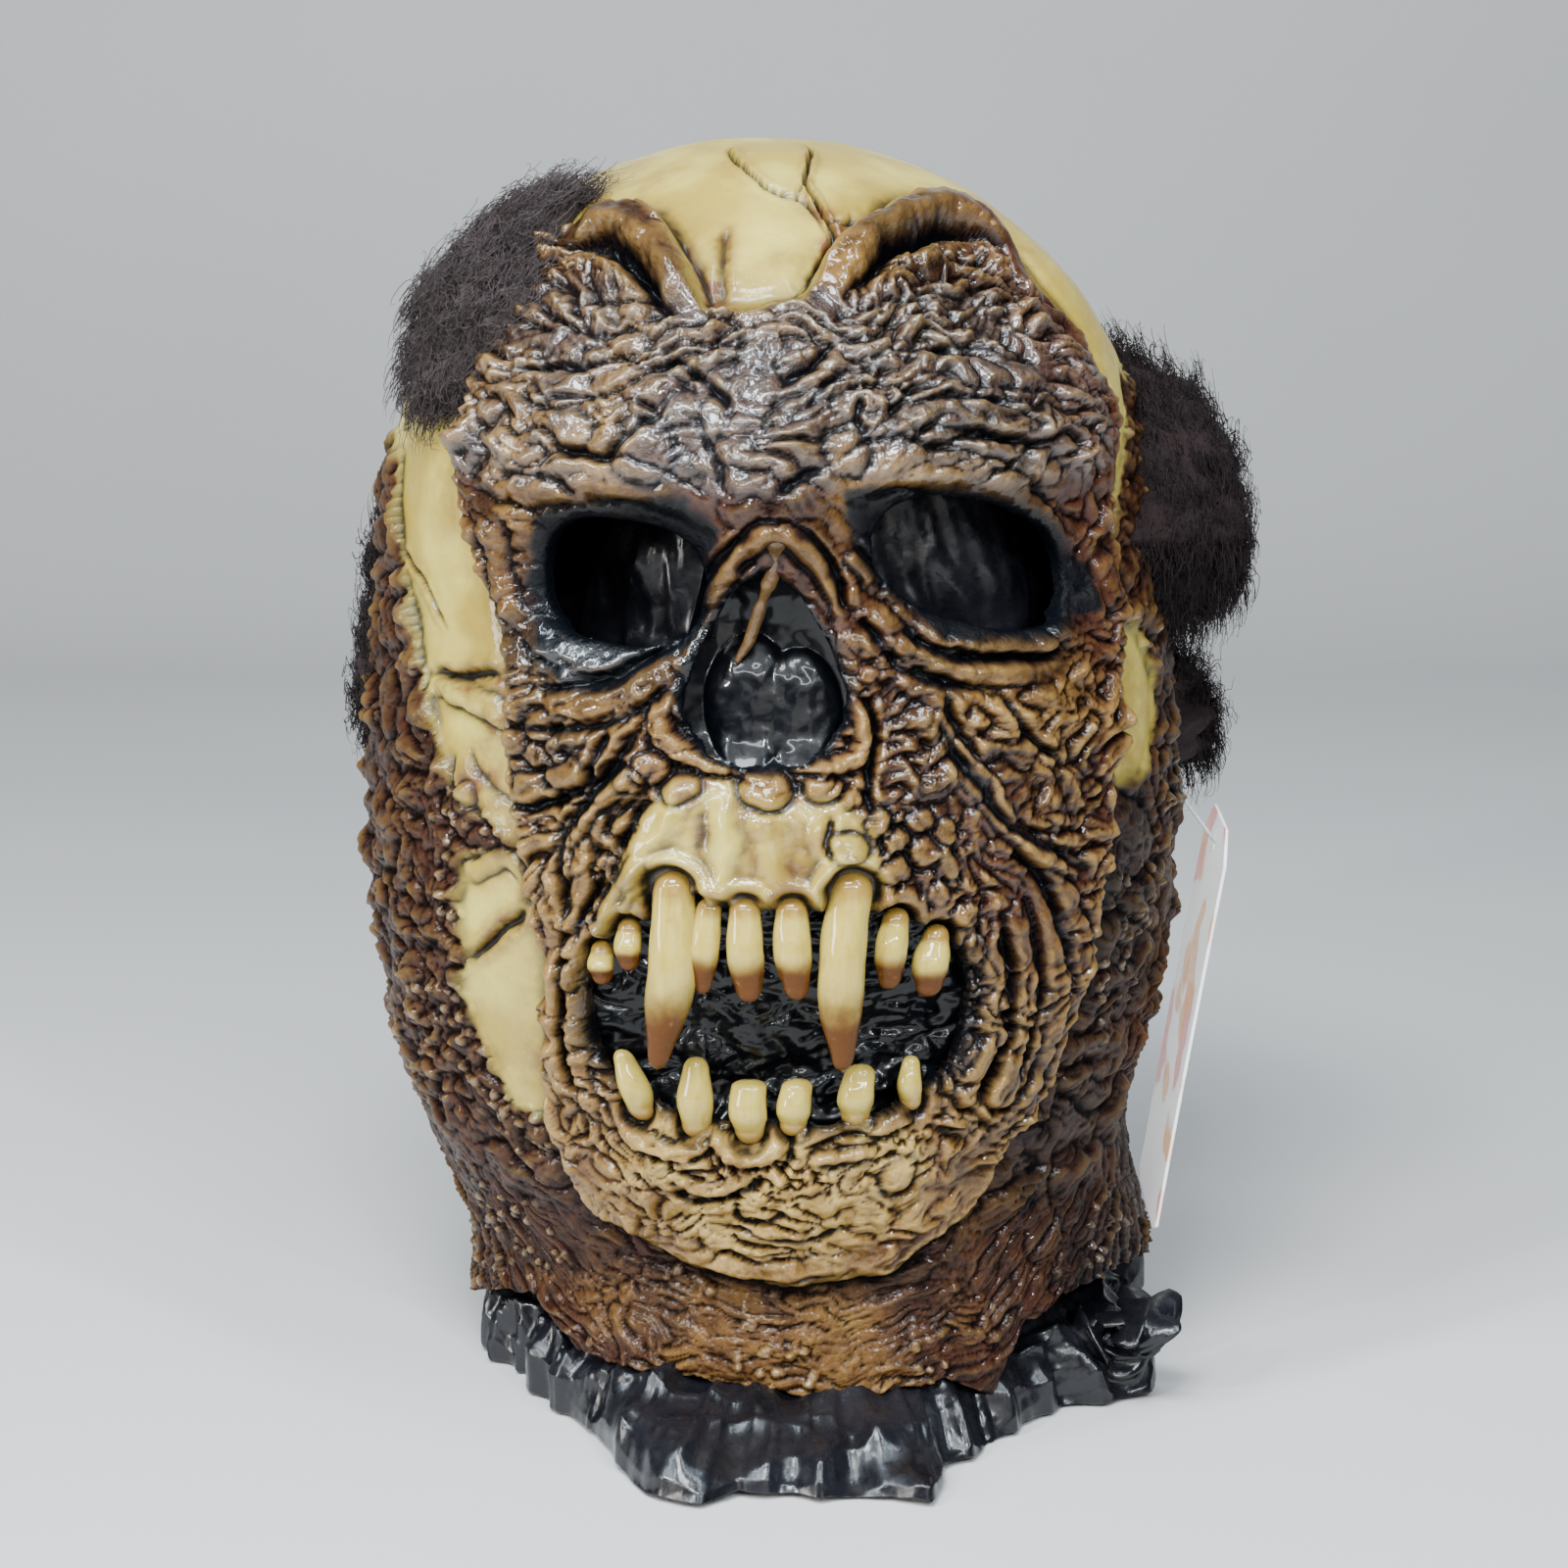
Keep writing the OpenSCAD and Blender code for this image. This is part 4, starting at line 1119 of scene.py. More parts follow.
def paint_masks(a, w, height, made, shape, points):
    """The paint attributes, from the sculpted height and the areas."""
    field = height.reshape(shape)
    step = 2
    small = (field - blur(field, step)).ravel()
    broad = (field - blur(field, 3 * step)).ravel()
    cavity = np.clip(-small * 2.6 - 0.06, 0, 1) + np.clip(-broad * 0.8 - 0.10, 0, 1)
    crest = np.clip(small * 1.4, 0, 1) * 0.5 + np.clip(broad * 0.5 - 0.1, 0, 1)
    bone, face, neck, forehead, muzzle, upper_jaw, sockets, beads, level, wash = (made[k] for k in (
        "bone", "face", "neck", "forehead", "muzzle", "upper_jaw", "sockets", "beads", "level", "wash"))
    muzzle = np.maximum(muzzle, made["chin"])
    n = noise(points / 17, 101)

    around_mouth = ease(96, 62, np.hypot(a + 4, (w - 122) * 1.1))
    right_side = ease(14, 46, a) * ease(96, 116, w)
    low_chin = face * ease(94, 78, w)
    lid = bell(a, w, (-50, 221), (26, 10))
    behind = np.clip(near_outline(np.stack([a, w], 1), FACE_EDGE, 30), 0, 30)
    # painted shade: darker flesh, with less dry brush, at these spots beside the muzzle and under the eyes
    dark = np.clip(spots(a, w, SHADE_SPOTS), 0, 1) * face

    tone = 0.10 + 0.26 * n - 0.35 * dark + spots(a, w, CHIN_TONES) * face + spots(a, w, TONES)
    tone += 0.30 * muzzle * around_mouth * (1 - 0.9 * right_side) - 0.12 * right_side * face
    tone += neck * (0.20 * ease(100, 50, np.abs(a + 6)) - 0.2 * ease(20, 70, np.abs(a)))
    tone -= forehead * (0.06 * ease(276, 300, w) - 0.34 * noise(points / 14, 106))
    tone -= 0.14 * (1 - face) * (1 - neck)

    red = spots(a, w, RED_SPOTS) + 0.4 * bell(a, w, (0, 56), (60, 9)) * face
    red += 0.8 * ease(72, 96, a) * face + 0.35 * (1 - face)

    # black in the sockets, on the openings' edges and in the drawn hollows
    black = np.maximum.reduce([
        0.97 * ease(0.22, 0.62, sockets + 0.12 * n),
        ease(5, 0, level) * (w > 212) * (1 - upper_jaw) * (np.abs(a) > 12),
        ease(3, 0, level) * (w > 190) * (w < 248) * (np.abs(a + 3) < 24),
        0.9 * ease(4, -0.5, level) * (w < 165),
        0.85 * wash * (1 - 0.35 * bone),
    ])
    black = np.clip(black + 0.95 * lid * (0.8 + 0.5 * n), 0, 1)
    # painted shade on the sides, most under the jaw and behind the face's edge
    painted_shade = (0.50 * np.exp(-behind / 8) + 0.62 * ease(56, 92, a) * ease(240, 160, w)
             + 0.12 * ease(-70, -100, a))
    painted_shade *= (1 - face) * (1 - 0.85 * bone) * (0.75 + 0.5 * n)

    # brown glaze on the bone round the drawn hollows and in patches, and painted shade by the face's edge and
    # along the upper jaw's top under the nose
    stain = np.clip(3.2 * blur(wash.reshape(shape), 3 * step).ravel(), 0, 0.85)
    patches = ease(0.1, 0.8, noise(points / 21, 103) + 0.3 * noise(points / 7, 104))
    on_jaw = (0.7 * np.clip(-broad * 0.7, 0, 1) + 0.4 * ease(178, 192, w)
              + 0.5 * ease(0.0, 0.7, noise(points / (5, 9, 16), 105)))
    glaze_and_painted_shade = stain * (1 - 0.4 * upper_jaw) + upper_jaw * on_jaw
    glaze_and_painted_shade += (1 - upper_jaw) * (0.35 * patches + 0.75 * np.exp(-behind / 11))
    glaze_and_painted_shade = bone * glaze_and_painted_shade + 0.7 * low_chin * cavity

    wet = 0.62 + 0.35 * lid + 0.9 * beads + 0.35 * upper_jaw + 0.10 * muzzle
    wet += 0.42 * forehead * ease(120, 100, a) - 0.22 * ease(40, 80, a) * face * (1 - forehead)
    wet -= 0.40 * (1 - face) * (1 - bone) + 0.2 * bone * (1 - upper_jaw)
    wet -= 0.25 * ease(312, 326, w) * face + 0.6 * sockets * (1 - lid)

    crest = crest * (1 - bone) * (1 - 0.65 * dark) * (0.45 + 0.8 * muzzle) + 0.3 * beads
    # the black attribute holds the black paint and also the painted shade of the sides
    masks = {"bone": bone, "crest": crest, "tone": tone, "black": black + painted_shade, "red": red, "glaze_and_painted_shade": glaze_and_painted_shade,
             "wet": wet}
    masks = {name: np.clip(values, 0, 1) for name, values in masks.items()}
    masks["cavity"] = np.clip(cavity * (1 - 0.45 * bone) * (1 - 0.4 * low_chin), 0, 0.97)
    return masks


class SkinParts:
    """The skin's points, faces and paint, to which one part after another is added."""

    def __init__(self, points, quads, masks):
        self.points, self.faces, self.masks = [points], [quads], masks
        self.paint = {name: [values] for name, values in masks.items()}

    def add(self, new, source):
        """Adds points that take their paint from source points, but black. Returns the first one's number."""
        first = sum(len(p) for p in self.points)
        self.points.append(new)
        for name, rows in self.paint.items():
            values = self.masks[name][source]
            rows.append(np.maximum(values, 0.85) if name == "black" else values)
        return first

    def close(self, ring, top, source, inward=False):
        """Closes a ring of points with a fan round a new point."""
        middle = self.add(top[None, :], np.array([source]))
        sides = [np.roll(ring, -1), ring] if inward else [ring, np.roll(ring, -1)]
        self.faces.append(np.stack([*sides, np.full(len(ring), middle)], 1))


def add_inner_wall(skin, start, way, near, level, top, shape):
    """The inner wall, of every third point, set in from the lowest skin near it, and the hem."""
    rows, cols = shape
    field = near.reshape(shape)
    low = np.minimum.reduce([np.roll(field, k, 1) for k in range(-3, 4)])
    pad = np.pad(low, ((3, 3), (0, 0)), mode="edge")
    low = np.minimum.reduce([pad[k : k + rows] for k in range(7)]) - 2.2
    low[0] = field[0] - WALL
    kept_rows = np.arange(0, rows, 3)
    kept_rows[-1] = rows - 1
    kept = np.arange(0, cols - cols % 3, 3)
    pick = (kept_rows[:, None] * cols + kept[None, :]).ravel()
    first = skin.add(start[pick] + low.ravel()[pick][:, None] * way[pick], pick)
    quads = grid_faces(len(kept_rows), len(kept), True)
    quads = quads[level[pick][quads].mean(1) > 1.5]
    skin.faces.append(quads[:, ::-1] + first)
    ring = first + np.arange(len(kept))
    last_ring = ring + (len(kept_rows) - 1) * len(kept)
    skin.close(last_ring, top - (0, 0, WALL), (rows - 1) * cols, inward=True)
    # hem: from the outer lower edge to the inner wall's
    for k in (0, 1):
        skin.faces.append(np.stack([ring, kept + k + 1, kept + k], 1))
    skin.faces.append(np.stack([ring, np.roll(ring, -1), np.roll(kept, -1), kept + 2], 1))


def add_rims(skin, quads, a, w, near, shape):
    """Turns the edges of the eye, nose and mouth openings inward."""
    rows, cols = shape
    # an opening's edge has a quad on one side only
    pairs = np.concatenate([quads[:, [k, (k + 1) % 4]] for k in range(4)])
    key = pairs.min(1).astype(np.int64) * (rows * cols) + pairs.max(1)
    _, where, count = np.unique(key, return_index=True, return_counts=True)
    before = pairs[where[count == 1]]
    before = before[(before >= cols).all(1) & (before < (rows - 1) * cols).all(1)]
    ids, local = np.unique(before, return_inverse=True)
    local = local.reshape(before.shape)
    x, y = a[ids], w[ids]
    out = unit(hole_slope(x, y, holes(x, y), 0.1))
    for depth, draw in ((1.6, 0.15), (4.2, 0.5)):
        start, way, _, _ = head_rays(x + out[:, 0] * draw, y + out[:, 1] * draw)
        now = skin.add(start + (near[ids] - depth)[:, None] * way, ids) + local
        skin.faces.append(np.stack([before[:, 1], before[:, 0], now[:, 0], now[:, 1]], 1))
        before = now


def make_skin(material):
    """One casting: the sculpted outer side, the crown, the inner wall, the hem and the openings' rims."""
    a, w = skin_map()
    shape = rows, cols = a.shape
    keep = fit_to_holes(a, w)
    a, w = a.ravel(), w.ravel()
    start, way, far, _ = head_rays(a, w)
    height, made = sculpt(a, w, start + far[:, None] * way)
    near = far + height
    points = start + near[:, None] * way
    quads = grid_faces(rows, cols, True)[keep.ravel()]
    skin = SkinParts(points, quads, paint_masks(a, w, height, made, shape, points))
    last = (rows - 1) * cols
    top = points[last:].mean(0) + (0, 0, 0.05)
    skin.close(last + np.arange(cols), top, last)
    add_inner_wall(skin, start, way, near, made["level"], top, shape)
    add_rims(skin, quads, a, w, near, shape)
    obj = make_object("latex_skin_sculpted", np.concatenate(skin.points) * MM, skin.faces)
    for name, values in skin.paint.items():
        set_attribute(obj, name, np.concatenate(values))
    place(obj, material, "mask", "painted_latex", "latex_skin")


# ---------------------------------------------------------------------------
# Linings behind the mouth and the nose
# ---------------------------------------------------------------------------
LINING = 1.4


def make_lining(name, node, material, phi_mid, phi_half, v_mid, v_half, dish, taper, lumps):
    """A dished panel glued behind an opening, with a wrinkled front."""
    n = 120
    s, t = square_grid(n)
    phi = phi_mid + phi_half * (1 - taper * s) * t
    v = v_mid + v_half * s
    fall = (1 - s**4) * (1 - t**4)
    q = np.stack([(phi + 90) * DEG, v], 1)
    off = -WALL - 1.6 - dish * fall + fall * lumps(q)
    points = np.concatenate([on_skin(phi, v, off), on_skin(phi, v, off - LINING)])
    obj = make_object(name, points * MM, panel_faces(n))
    place(obj, material, "mask", "black_latex", node)


def mouth_lumps(q):
    """Wrinkles of the membrane behind the teeth."""
    bent = q + 2.5 * shifts(q / 9, 127, 128, kind=slope_noise)
    return 3.2 * slope_noise(q / (20, 14), 121) + 3.2 * puffs(bent / (15, 9), 123) - 2.5


def nose_lumps(q):
    """Two black glossy bulbs, dimpled."""
    def bulb(mid, half):
        return np.sqrt(np.clip(1 - (((q - mid) / half) ** 2).sum(1), 0, 1))

    bulbs = soft_max(bulb((-8.5, 209), (13, 17)), bulb((6, 207), (12, 15)), 0.35)
    return 6.5 * bulbs + 0.5 * slope_noise(q / 7, 125) + 0.15 * slope_noise(q / 3, 126) - 0.5


def make_septum(material):
    """The strand of torn flesh that hangs in the nose."""
    rows, sides = 60, 14
    t = np.linspace(0, 1, rows)
    stops = [0, 0.2, 0.45, 0.7, 0.88, 1]
    a = np.interp(t, stops, [0, -1, -3, -6, -9, -12]) + 0.5 * noise(t[:, None] * 7, 132)
    w = np.interp(t, stops, [251, 246, 239, 231, 224, 219])
    depth = np.interp(t, [0, 0.2, 0.6, 1], [-0.5, -2.5, -6.0, -10.5])
    path = on_skin(a / DEG - 90, w, depth)
    radii = np.interp(t, [0, 0.12, 0.35, 0.6, 0.85, 1], [3.6, 2.3, 1.7, 1.3, 1.3, 1.0])
    radii = radii * (1 + 0.35 * noise(t[:, None] * 13 + 3, 131))
    points = rings(path, turned(sides), radii[:, None]).reshape(-1, 3)
    points = np.concatenate([points, path[:1], path[-1:]])
    # fans close the two ends
    first, last = np.arange(sides), np.arange(sides) + (rows - 1) * sides
    fans = np.concatenate([np.stack([np.roll(first, -1), first, np.full(sides, rows * sides)], 1),
                           np.stack([last, np.roll(last, -1), np.full(sides, rows * sides + 1)], 1)])
    obj = make_object("nose_septum", points * MM, [grid_faces(rows, sides, True), fans])
    dark = 0.5 + 0.5 * noise(points / 2.2, 133)
    for name, value in (("bone", 0.0), ("cavity", 0.5 * dark), ("crest", 0.4), ("tone", 0.35), ("black", 0.0),
                        ("red", 0.5), ("glaze_and_painted_shade", 0.0), ("wet", 0.9)):
        set_attribute(obj, name, np.full(len(points), 1.0) * value)
    place(obj, material, "mask", "painted_latex")


def make_tooth(material, name, length, lean, root_r, mid_r, tip_r, end, down):
    """A smooth tapered tooth inside the CAD tooth's box."""
    root = tooth_root(name, lean, root_r, down)
    tip = root + (lean, -1.5 if down else -0.5, -length if down else length)
    rows, sides = ((46, 30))
    root_end, tip_end = root_r * 0.95, tip_r * end
    along = np.linspace(0, 1, rows) * (length + root_end + tip_end) - root_end
    t = along / length
    radius = root_r * 0.92 + (mid_r - root_r * 0.92) * ease(-0.05, 0.38, t)
    radius = radius - (mid_r - tip_r) * ease(0.56 if down else 0.42, 1.12, t)
    # both ends are rounded off
    for end_share in ((along - length) / tip_end, -along / root_end):
        radius = radius * np.sqrt(np.clip(1 - np.clip(end_share, 0, 1) ** 2, 0, 1))
    radius[[0, -1]] = 0.02
    arch = np.sin(np.clip(t, 0, 1) * math.pi)
    bow = -1.4 if length < LONG_TOOTH else -2.4
    sway = (1.5 if length > LONG_TOOTH else 0.4) * (1 if lean < -2 else -1)
    path = root + (tip - root) * t[:, None] + arch[:, None] * (sway, bow, 0)
    turn = turned(sides)
    cos, sin = np.cos(turn), np.sin(turn)
    seed = sum(map(ord, name))
    u = np.stack([np.repeat(along[:, None], sides, 1) / 9, np.tile(cos, (rows, 1)) * 1.4 + seed,
                  np.tile(sin, (rows, 1)) * 1.4], -1).reshape(-1, 3)
    bumpy = 1 + 0.055 * rough(u, 141).reshape(rows, sides)
    # a little squarer than round, and flatter from front to back
    ring = np.stack([np.sign(cos) * np.abs(cos) ** 0.92, 0.9 * np.sign(sin) * np.abs(sin) ** 0.92,
                     cos * 0], 1)
    points = path[:, None] + ring[None] * (radius[:, None] * bumpy)[:, :, None]
    faces = [grid_faces(rows, sides, True), *end_caps(rows, sides)]
    if down:
        faces = [f[:, ::-1] for f in faces]
    obj = make_object(name + "_resin", points.reshape(-1, 3) * MM, faces)
    set_attribute(obj, "along", np.repeat(np.clip(t, -0.2, 1.1) * (1 if down else 0.5), sides))
    place(obj, material, "mask", "tooth_resin", name)


# ---------------------------------------------------------------------------
# Hair: name, angle, half angle, height, half height, thickness, strands, dustiness, and how
# far the patch is drawn in at its upper corner
# ---------------------------------------------------------------------------
TUFTS = [
    ("hair_crown_left", -152, 21, SKULL_Z + 37, 20, 13, 3600, 0.45, 0.7),
    ("hair_temple_left", 172, 14, 208, 42, 9, 2200, 0.1, 0.0),
    ("hair_right_upper", 16, 36, 239, 31, 36, 6000, 0.0, 0.0),
    ("hair_right_lower", 22, 20, 181, 24, 29, 2800, 0.0, 0.0),
    ("hair_back", 106, 48, 205, 60, 15, 7500, 0.05, 0.0),
]
STRAND_RADIUS, STRAND_STEPS = 0.16, 11


def clear_of_tag(path):
    """Which strands don't hang where the tag swings up."""
    low, high = (np.array(corner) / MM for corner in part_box("tag_card"))
    in_the_way = ((path[..., 0] > low[0]) & (path[..., 1] < high[1] + 5)
                  & (np.abs(path[..., 2] - high[2]) < 32))
    return ~in_the_way.any(1)


def curled_strands(pick, root, out, thick):
    """Paths of curled strands that lie over the tuft and rise a little out of it."""
    count = len(root)
    length = pick.uniform(9, 22, count) * (0.5 + 0.5 * min(1, thick / 14))
    lie = pick.normal(size=(count, 3)) + (0, 0, -0.35)
    lie = unit(lie - (lie * out).sum(1)[:, None] * out)
    across = np.cross(out, lie)

    def each(low, high):
        return pick.uniform(low, high, count)[:, None, None]

    u = np.linspace(0, 1, STRAND_STEPS)[None, :, None]
    rise = each(2.0, 5.6) * np.sin(u * math.pi * each(0.5, 1.0))
    curl, phase, turns = each(0.8, 2.6), each(0, 6.3), each(1.0, 2.6) * 2 * math.pi
    bend = each(-4, 4) * u * u
    return (
        root[:, None] + lie[:, None] * (u * length[:, None, None] * 0.7 + curl * np.cos(turns * u + phase))
        + across[:, None] * (curl * np.sin(turns * u + phase) + bend) + out[:, None] * rise
    )


def strand_mesh(path, out):
    """Points and faces of thin strands with three sides, which taper to their tips."""
    side, other = square_to(path, out[:, None] + 0.01, axis=1)
    thin = STRAND_RADIUS * (1 - 0.75 * np.linspace(0, 1, STRAND_STEPS) ** 2)[None, :, None]
    points = np.stack([path + thin * (math.cos(k) * side + math.sin(k) * other) for k in turned(3)], 2)
    base = (np.arange(len(path)) * STRAND_STEPS * 3)[:, None]
    quads = (base[:, :, None] + grid_faces(STRAND_STEPS, 3, True)[None]).reshape(-1, 4)
    return points.reshape(-1, 3), [quads, np.concatenate([base + cap for cap in end_caps(STRAND_STEPS, 3)])]


def make_tuft(material, seed, name, phi_mid, phi_half, v_mid, v_half, thick, strands, dusty, drawn_in):
    """A dense curly patch, with loose curled strands standing out of it."""
    def at(s, t):
        """Points on the patch, their way out, and the points under them just inside the skin."""
        # the patch gives way towards the forehead at its upper corner
        t = np.where(t > 0, t * (1 - drawn_in * ease(-0.5, 1, s)), t)
        puff = (1 - np.abs(s) ** 3) * (1 - np.abs(t) ** 3)
        ragged = 1 + 0.09 * np.sin(5.1 * s + seed) + 0.06 * np.sin(11.3 * s + 2 * seed)
        phi = phi_mid + phi_half * t * np.sqrt(1 - 0.8 * s * s) * ragged
        v = v_mid + v_half * s * (1 - 0.2 * t * t)
        flat = on_skin(phi, v, 0.0)
        clump = (3.4 * slope_noise(flat / 13, seed) + 2.8 * slope_noise(flat / 6, seed + 1)
                 + 1.8 * slope_noise(flat / 2.8, seed + 2))
        off = thick * puff * 0.82 + clump * np.clip(puff * 1.5, 0, 1) * min(1, thick / 12)
        _, way, _ = rays(phi, v)
        return flat + off[:, None] * way, way, flat - 0.4 * way

    n = 90
    outer, _, lower = at(*square_grid(n))
    mat = make_object(name + "_mat", np.concatenate([outer, lower]) * MM, panel_faces(n))
    set_attribute(mat, "dusty", np.full(2 * n * n, dusty))
    place(mat, material, "mask", "crepe_hair", name)

    pick = np.random.default_rng(seed)
    count = strands
    s, t = pick.uniform(-0.99, 0.99, count), pick.uniform(-0.99, 0.99, count)
    root, out, _ = at(s, t)
    path = curled_strands(pick, root - out * 2.0, out, thick)
    keep = clear_of_tag(path)
    points, faces = strand_mesh(path[keep], out[keep])
    loose = make_object(name + "_strands", points * MM, faces)
    tint = np.clip(dusty + pick.normal(0, 0.10, keep.sum()), 0, 1)
    set_attribute(loose, "dusty", np.repeat(tint, STRAND_STEPS * 3))
    place(loose, material, "mask", "crepe_hair")


# ---------------------------------------------------------------------------
# Hang tag
# ---------------------------------------------------------------------------
CARD_LEAN = math.radians(9)
CARD_CLIP, HOLE_R, HOLE_DROP = 9.0, 2.0, 8.0
CARD_T, LEAF_GAP = 0.42, 0.45


def outline_reach(centre, outline, turn):
    """How far the outline is from its centre in each direction."""
    way = np.stack([np.cos(turn), np.sin(turn)], 1)[:, None]
    start, edge = outline - centre, np.roll(outline, -1, 0) - outline
    with np.errstate(divide="ignore", invalid="ignore"):
        across = way[..., 0] * edge[:, 1] - way[..., 1] * edge[:, 0]
        far = (start[:, 0] * edge[:, 1] - start[:, 1] * edge[:, 0]) / across
        share = (start[:, 0] * way[..., 1] - start[:, 1] * way[..., 0]) / across
    hit = (far > 0) & (share >= -1e-6) & (share <= 1 + 1e-6)
    return np.where(hit, far, np.inf).min(1)


def make_tag(material):
    """A card folded once, its two leaves a little open, with clipped corners and a punched hole."""
    low, high = (np.array(c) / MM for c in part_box("tag_card"))
    half = (high[1] - low[1]) / 2
    tall = (high[2] - low[2]) / math.cos(CARD_LEAN)
    top = np.array([high[0] - 0.8, (low[1] + high[1]) / 2, high[2]])
    # rings from the hole's edge out to the card's outline, seen flat: y across, z down from the top
    rows, cols = 70, 160
    right = [(half - CARD_CLIP, 0), (half, -CARD_CLIP), (half, -tall)]
    outline = np.array([(-y, z) for y, z in right[1::-1]] + right + [(-half, -tall)])
    turn = turned(cols)
    share = np.linspace(0, 1, rows)[:, None] ** 1.4
    r = HOLE_R + (outline_reach(np.array([0.0, -HOLE_DROP]), outline, turn) - HOLE_R) * share
    y, z = r * np.cos(turn), -HOLE_DROP + r * np.sin(turn)
    curl = 1.2 * ((z + tall / 2) / tall) ** 2 + 0.5 * np.sin(y / 14)
    quads, ring, count = grid_faces(rows, cols, True), np.arange(cols), rows * cols
    points, faces = [], []
    for leaf in (0, 1):
        # the leaves part towards the free edge
        apart = 1.5 * np.clip((y + half) / (2 * half), 0, 1) ** 1.3 * ease(-6, -40, z)
        apart *= 1 if leaf else -0.15
        for depth in (0, CARD_T):
            x = apart + curl - 0.6 + depth + LEAF_GAP * leaf
            px = top[0] + x * math.cos(CARD_LEAN) + z * math.sin(CARD_LEAN)
            pz = top[2] + z * math.cos(CARD_LEAN) - x * math.sin(CARD_LEAN)
            points.append(np.stack([px, top[1] + y, pz], -1).reshape(-1, 3))
        inner, outer = 2 * leaf * count, (2 * leaf + 1) * count
        rim = count - cols + ring
        faces += [quads[:, ::-1] + inner, quads + outer, band(inner + ring, outer + ring)[:, ::-1],
                  band(inner + rim, outer + rim)]
    tag = make_object("folded_tag_card", np.concatenate(points) * MM, faces, smooth=False)
    # only the outer faces are printed
    blank = np.zeros(4 * count)
    blank[count : 3 * count] = 1
    set_attribute(tag, "blank", blank)
    place(tag, material, "tag", "white_card", "tag_card")


# ---------------------------------------------------------------------------
# Stuffing bag
# ---------------------------------------------------------------------------
BAG_MID, BAG_HALF, BAG_TOP, BAG_SHOULDER = (5, 2), (84, 78), 322, 225
# How far the bag's mouth spreads on the floor: angle and radius
BAG_LIP = [
    (4, 97), (14, 107), (24, 112), (36, 98), (55, 92), (75, 96), (95, 90), (115, 95), (135, 90), (150, 96),
    (165, 92), (198, 92), (211, 89), (222, 92), (234, 100), (243, 110), (252, 129), (259, 135), (263, 124),
    (272, 131), (281, 130), (285, 136), (290, 117), (300, 106), (314, 97), (322, 104), (330, 117), (338, 103),
    (352, 97),
]


# The mouth's profile from its tucked edge out to its lip and up into the neck: share of the
# spread, and height
BAG_PROFILE = [
    (0.62, 0.7), (0.92, 0.7), (1.0, 1.2), (0.97, 3.0), (0.88, 6.2), (0.75, 9.6), (0.60, 12.6), (0.43, 15.4),
    (0.22, 19), (0.04, 26), (-0.02, 34),
]
# The film's thickness, and how far inside the CAD bag it lies at the neck and in the dome
FILM, NECK_INSET, DOME_INSET = 0.35, 3, 5


def bag_radius(phi):
    c, s = np.abs(np.cos(phi)) / BAG_HALF[0], np.abs(np.sin(phi)) / BAG_HALF[1]
    return (c**2.2 + s**2.2) ** (-1 / 2.2)


def bag_ring(around, r, z):
    x, y = (mid + r * part for mid, part in zip(BAG_MID, around.T))
    return np.column_stack([x, y, np.full(len(around), z)])


def crumple(p, seed):
    """Sharp creases with flat slack between them, from -1 to 1."""
    return 1 - 2 * np.abs(noise(p, seed)) ** 0.8


def bag_slack(around, z):
    """Long slanting folds of the film, in millimetres."""
    at = np.column_stack([around * 3.4 + z / 90, np.full(len(around), z / 48)])
    return 2.8 * crumple(at, 161) + 1.5 * crumple(at * 2.3 + 5, 163) + 0.6 * crumple(at * 5.5 + 9, 165)


def bag_mouth(phi, around):
    """Rings of the bag's crumpled mouth on the floor."""
    lip = np.interp(np.degrees(phi), *zip(*BAG_LIP), period=360) + 2.5 * noise(around * 9, 150)
    spread = lip - bag_radius(phi) + NECK_INSET
    places = np.linspace(0, len(BAG_PROFILE) - 1, 120)
    share, up = (np.interp(places, range(len(BAG_PROFILE)), values) for values in zip(*BAG_PROFILE))
    rows = []
    for k, s, z in zip(places, share, up):
        floor_part = ease(0.05, 0.45, s)
        lean = np.full(len(phi), 1.1 * s)
        fold = crumple(np.column_stack([around * 4.6 + 0.5 * np.sin(2 * phi)[:, None], lean]), 157)
        pleat = crumple(np.column_stack([around * 10.5, 0.9 * lean]), 155)
        pinch = crumple(np.column_stack([around * 24, 1.5 * lean]), 159)
        r = bag_radius(phi) - NECK_INSET + spread * s + floor_part * (2.2 * pleat + 1.6 * fold + 0.6 * pinch)
        lift = (4.6 * fold + 3.8 * pleat + 1.3 * pinch) * floor_part * ease(1.6, 4, k)
        row = bag_ring(around, r, z + lift)
        dent = 1.8 * crumple(row / (30, 30, 18), 171) + 0.9 * crumple(row / 10, 173)
        dent *= floor_part * ease(0.8, 3.2, k)
        row += dent[:, None] * np.column_stack([0.5 * around, np.ones(len(phi))])
        row[:, 2] = np.maximum(row[:, 2], 0.5 + 0.12 * z)
        rows.append(row)
    return rows


def bag_dome(phi, around):
    """Rings of the slack dome that fills the head."""
    rows = []
    for z in np.linspace(40, BAG_SHOULDER, 96):
        r = bag_radius(phi) - DOME_INSET + bag_slack(around, z) * ease(30, 70, z)
        rows.append(bag_ring(around, r, z))
    for tilt in np.radians(np.linspace(3, 87, 52)):
        z = BAG_SHOULDER + (BAG_TOP - 4 - BAG_SHOULDER) * math.sin(tilt)
        r = (bag_radius(phi) - DOME_INSET + bag_slack(around, z)) * math.cos(tilt)
        rows.append(bag_ring(around, r, z))
    return rows


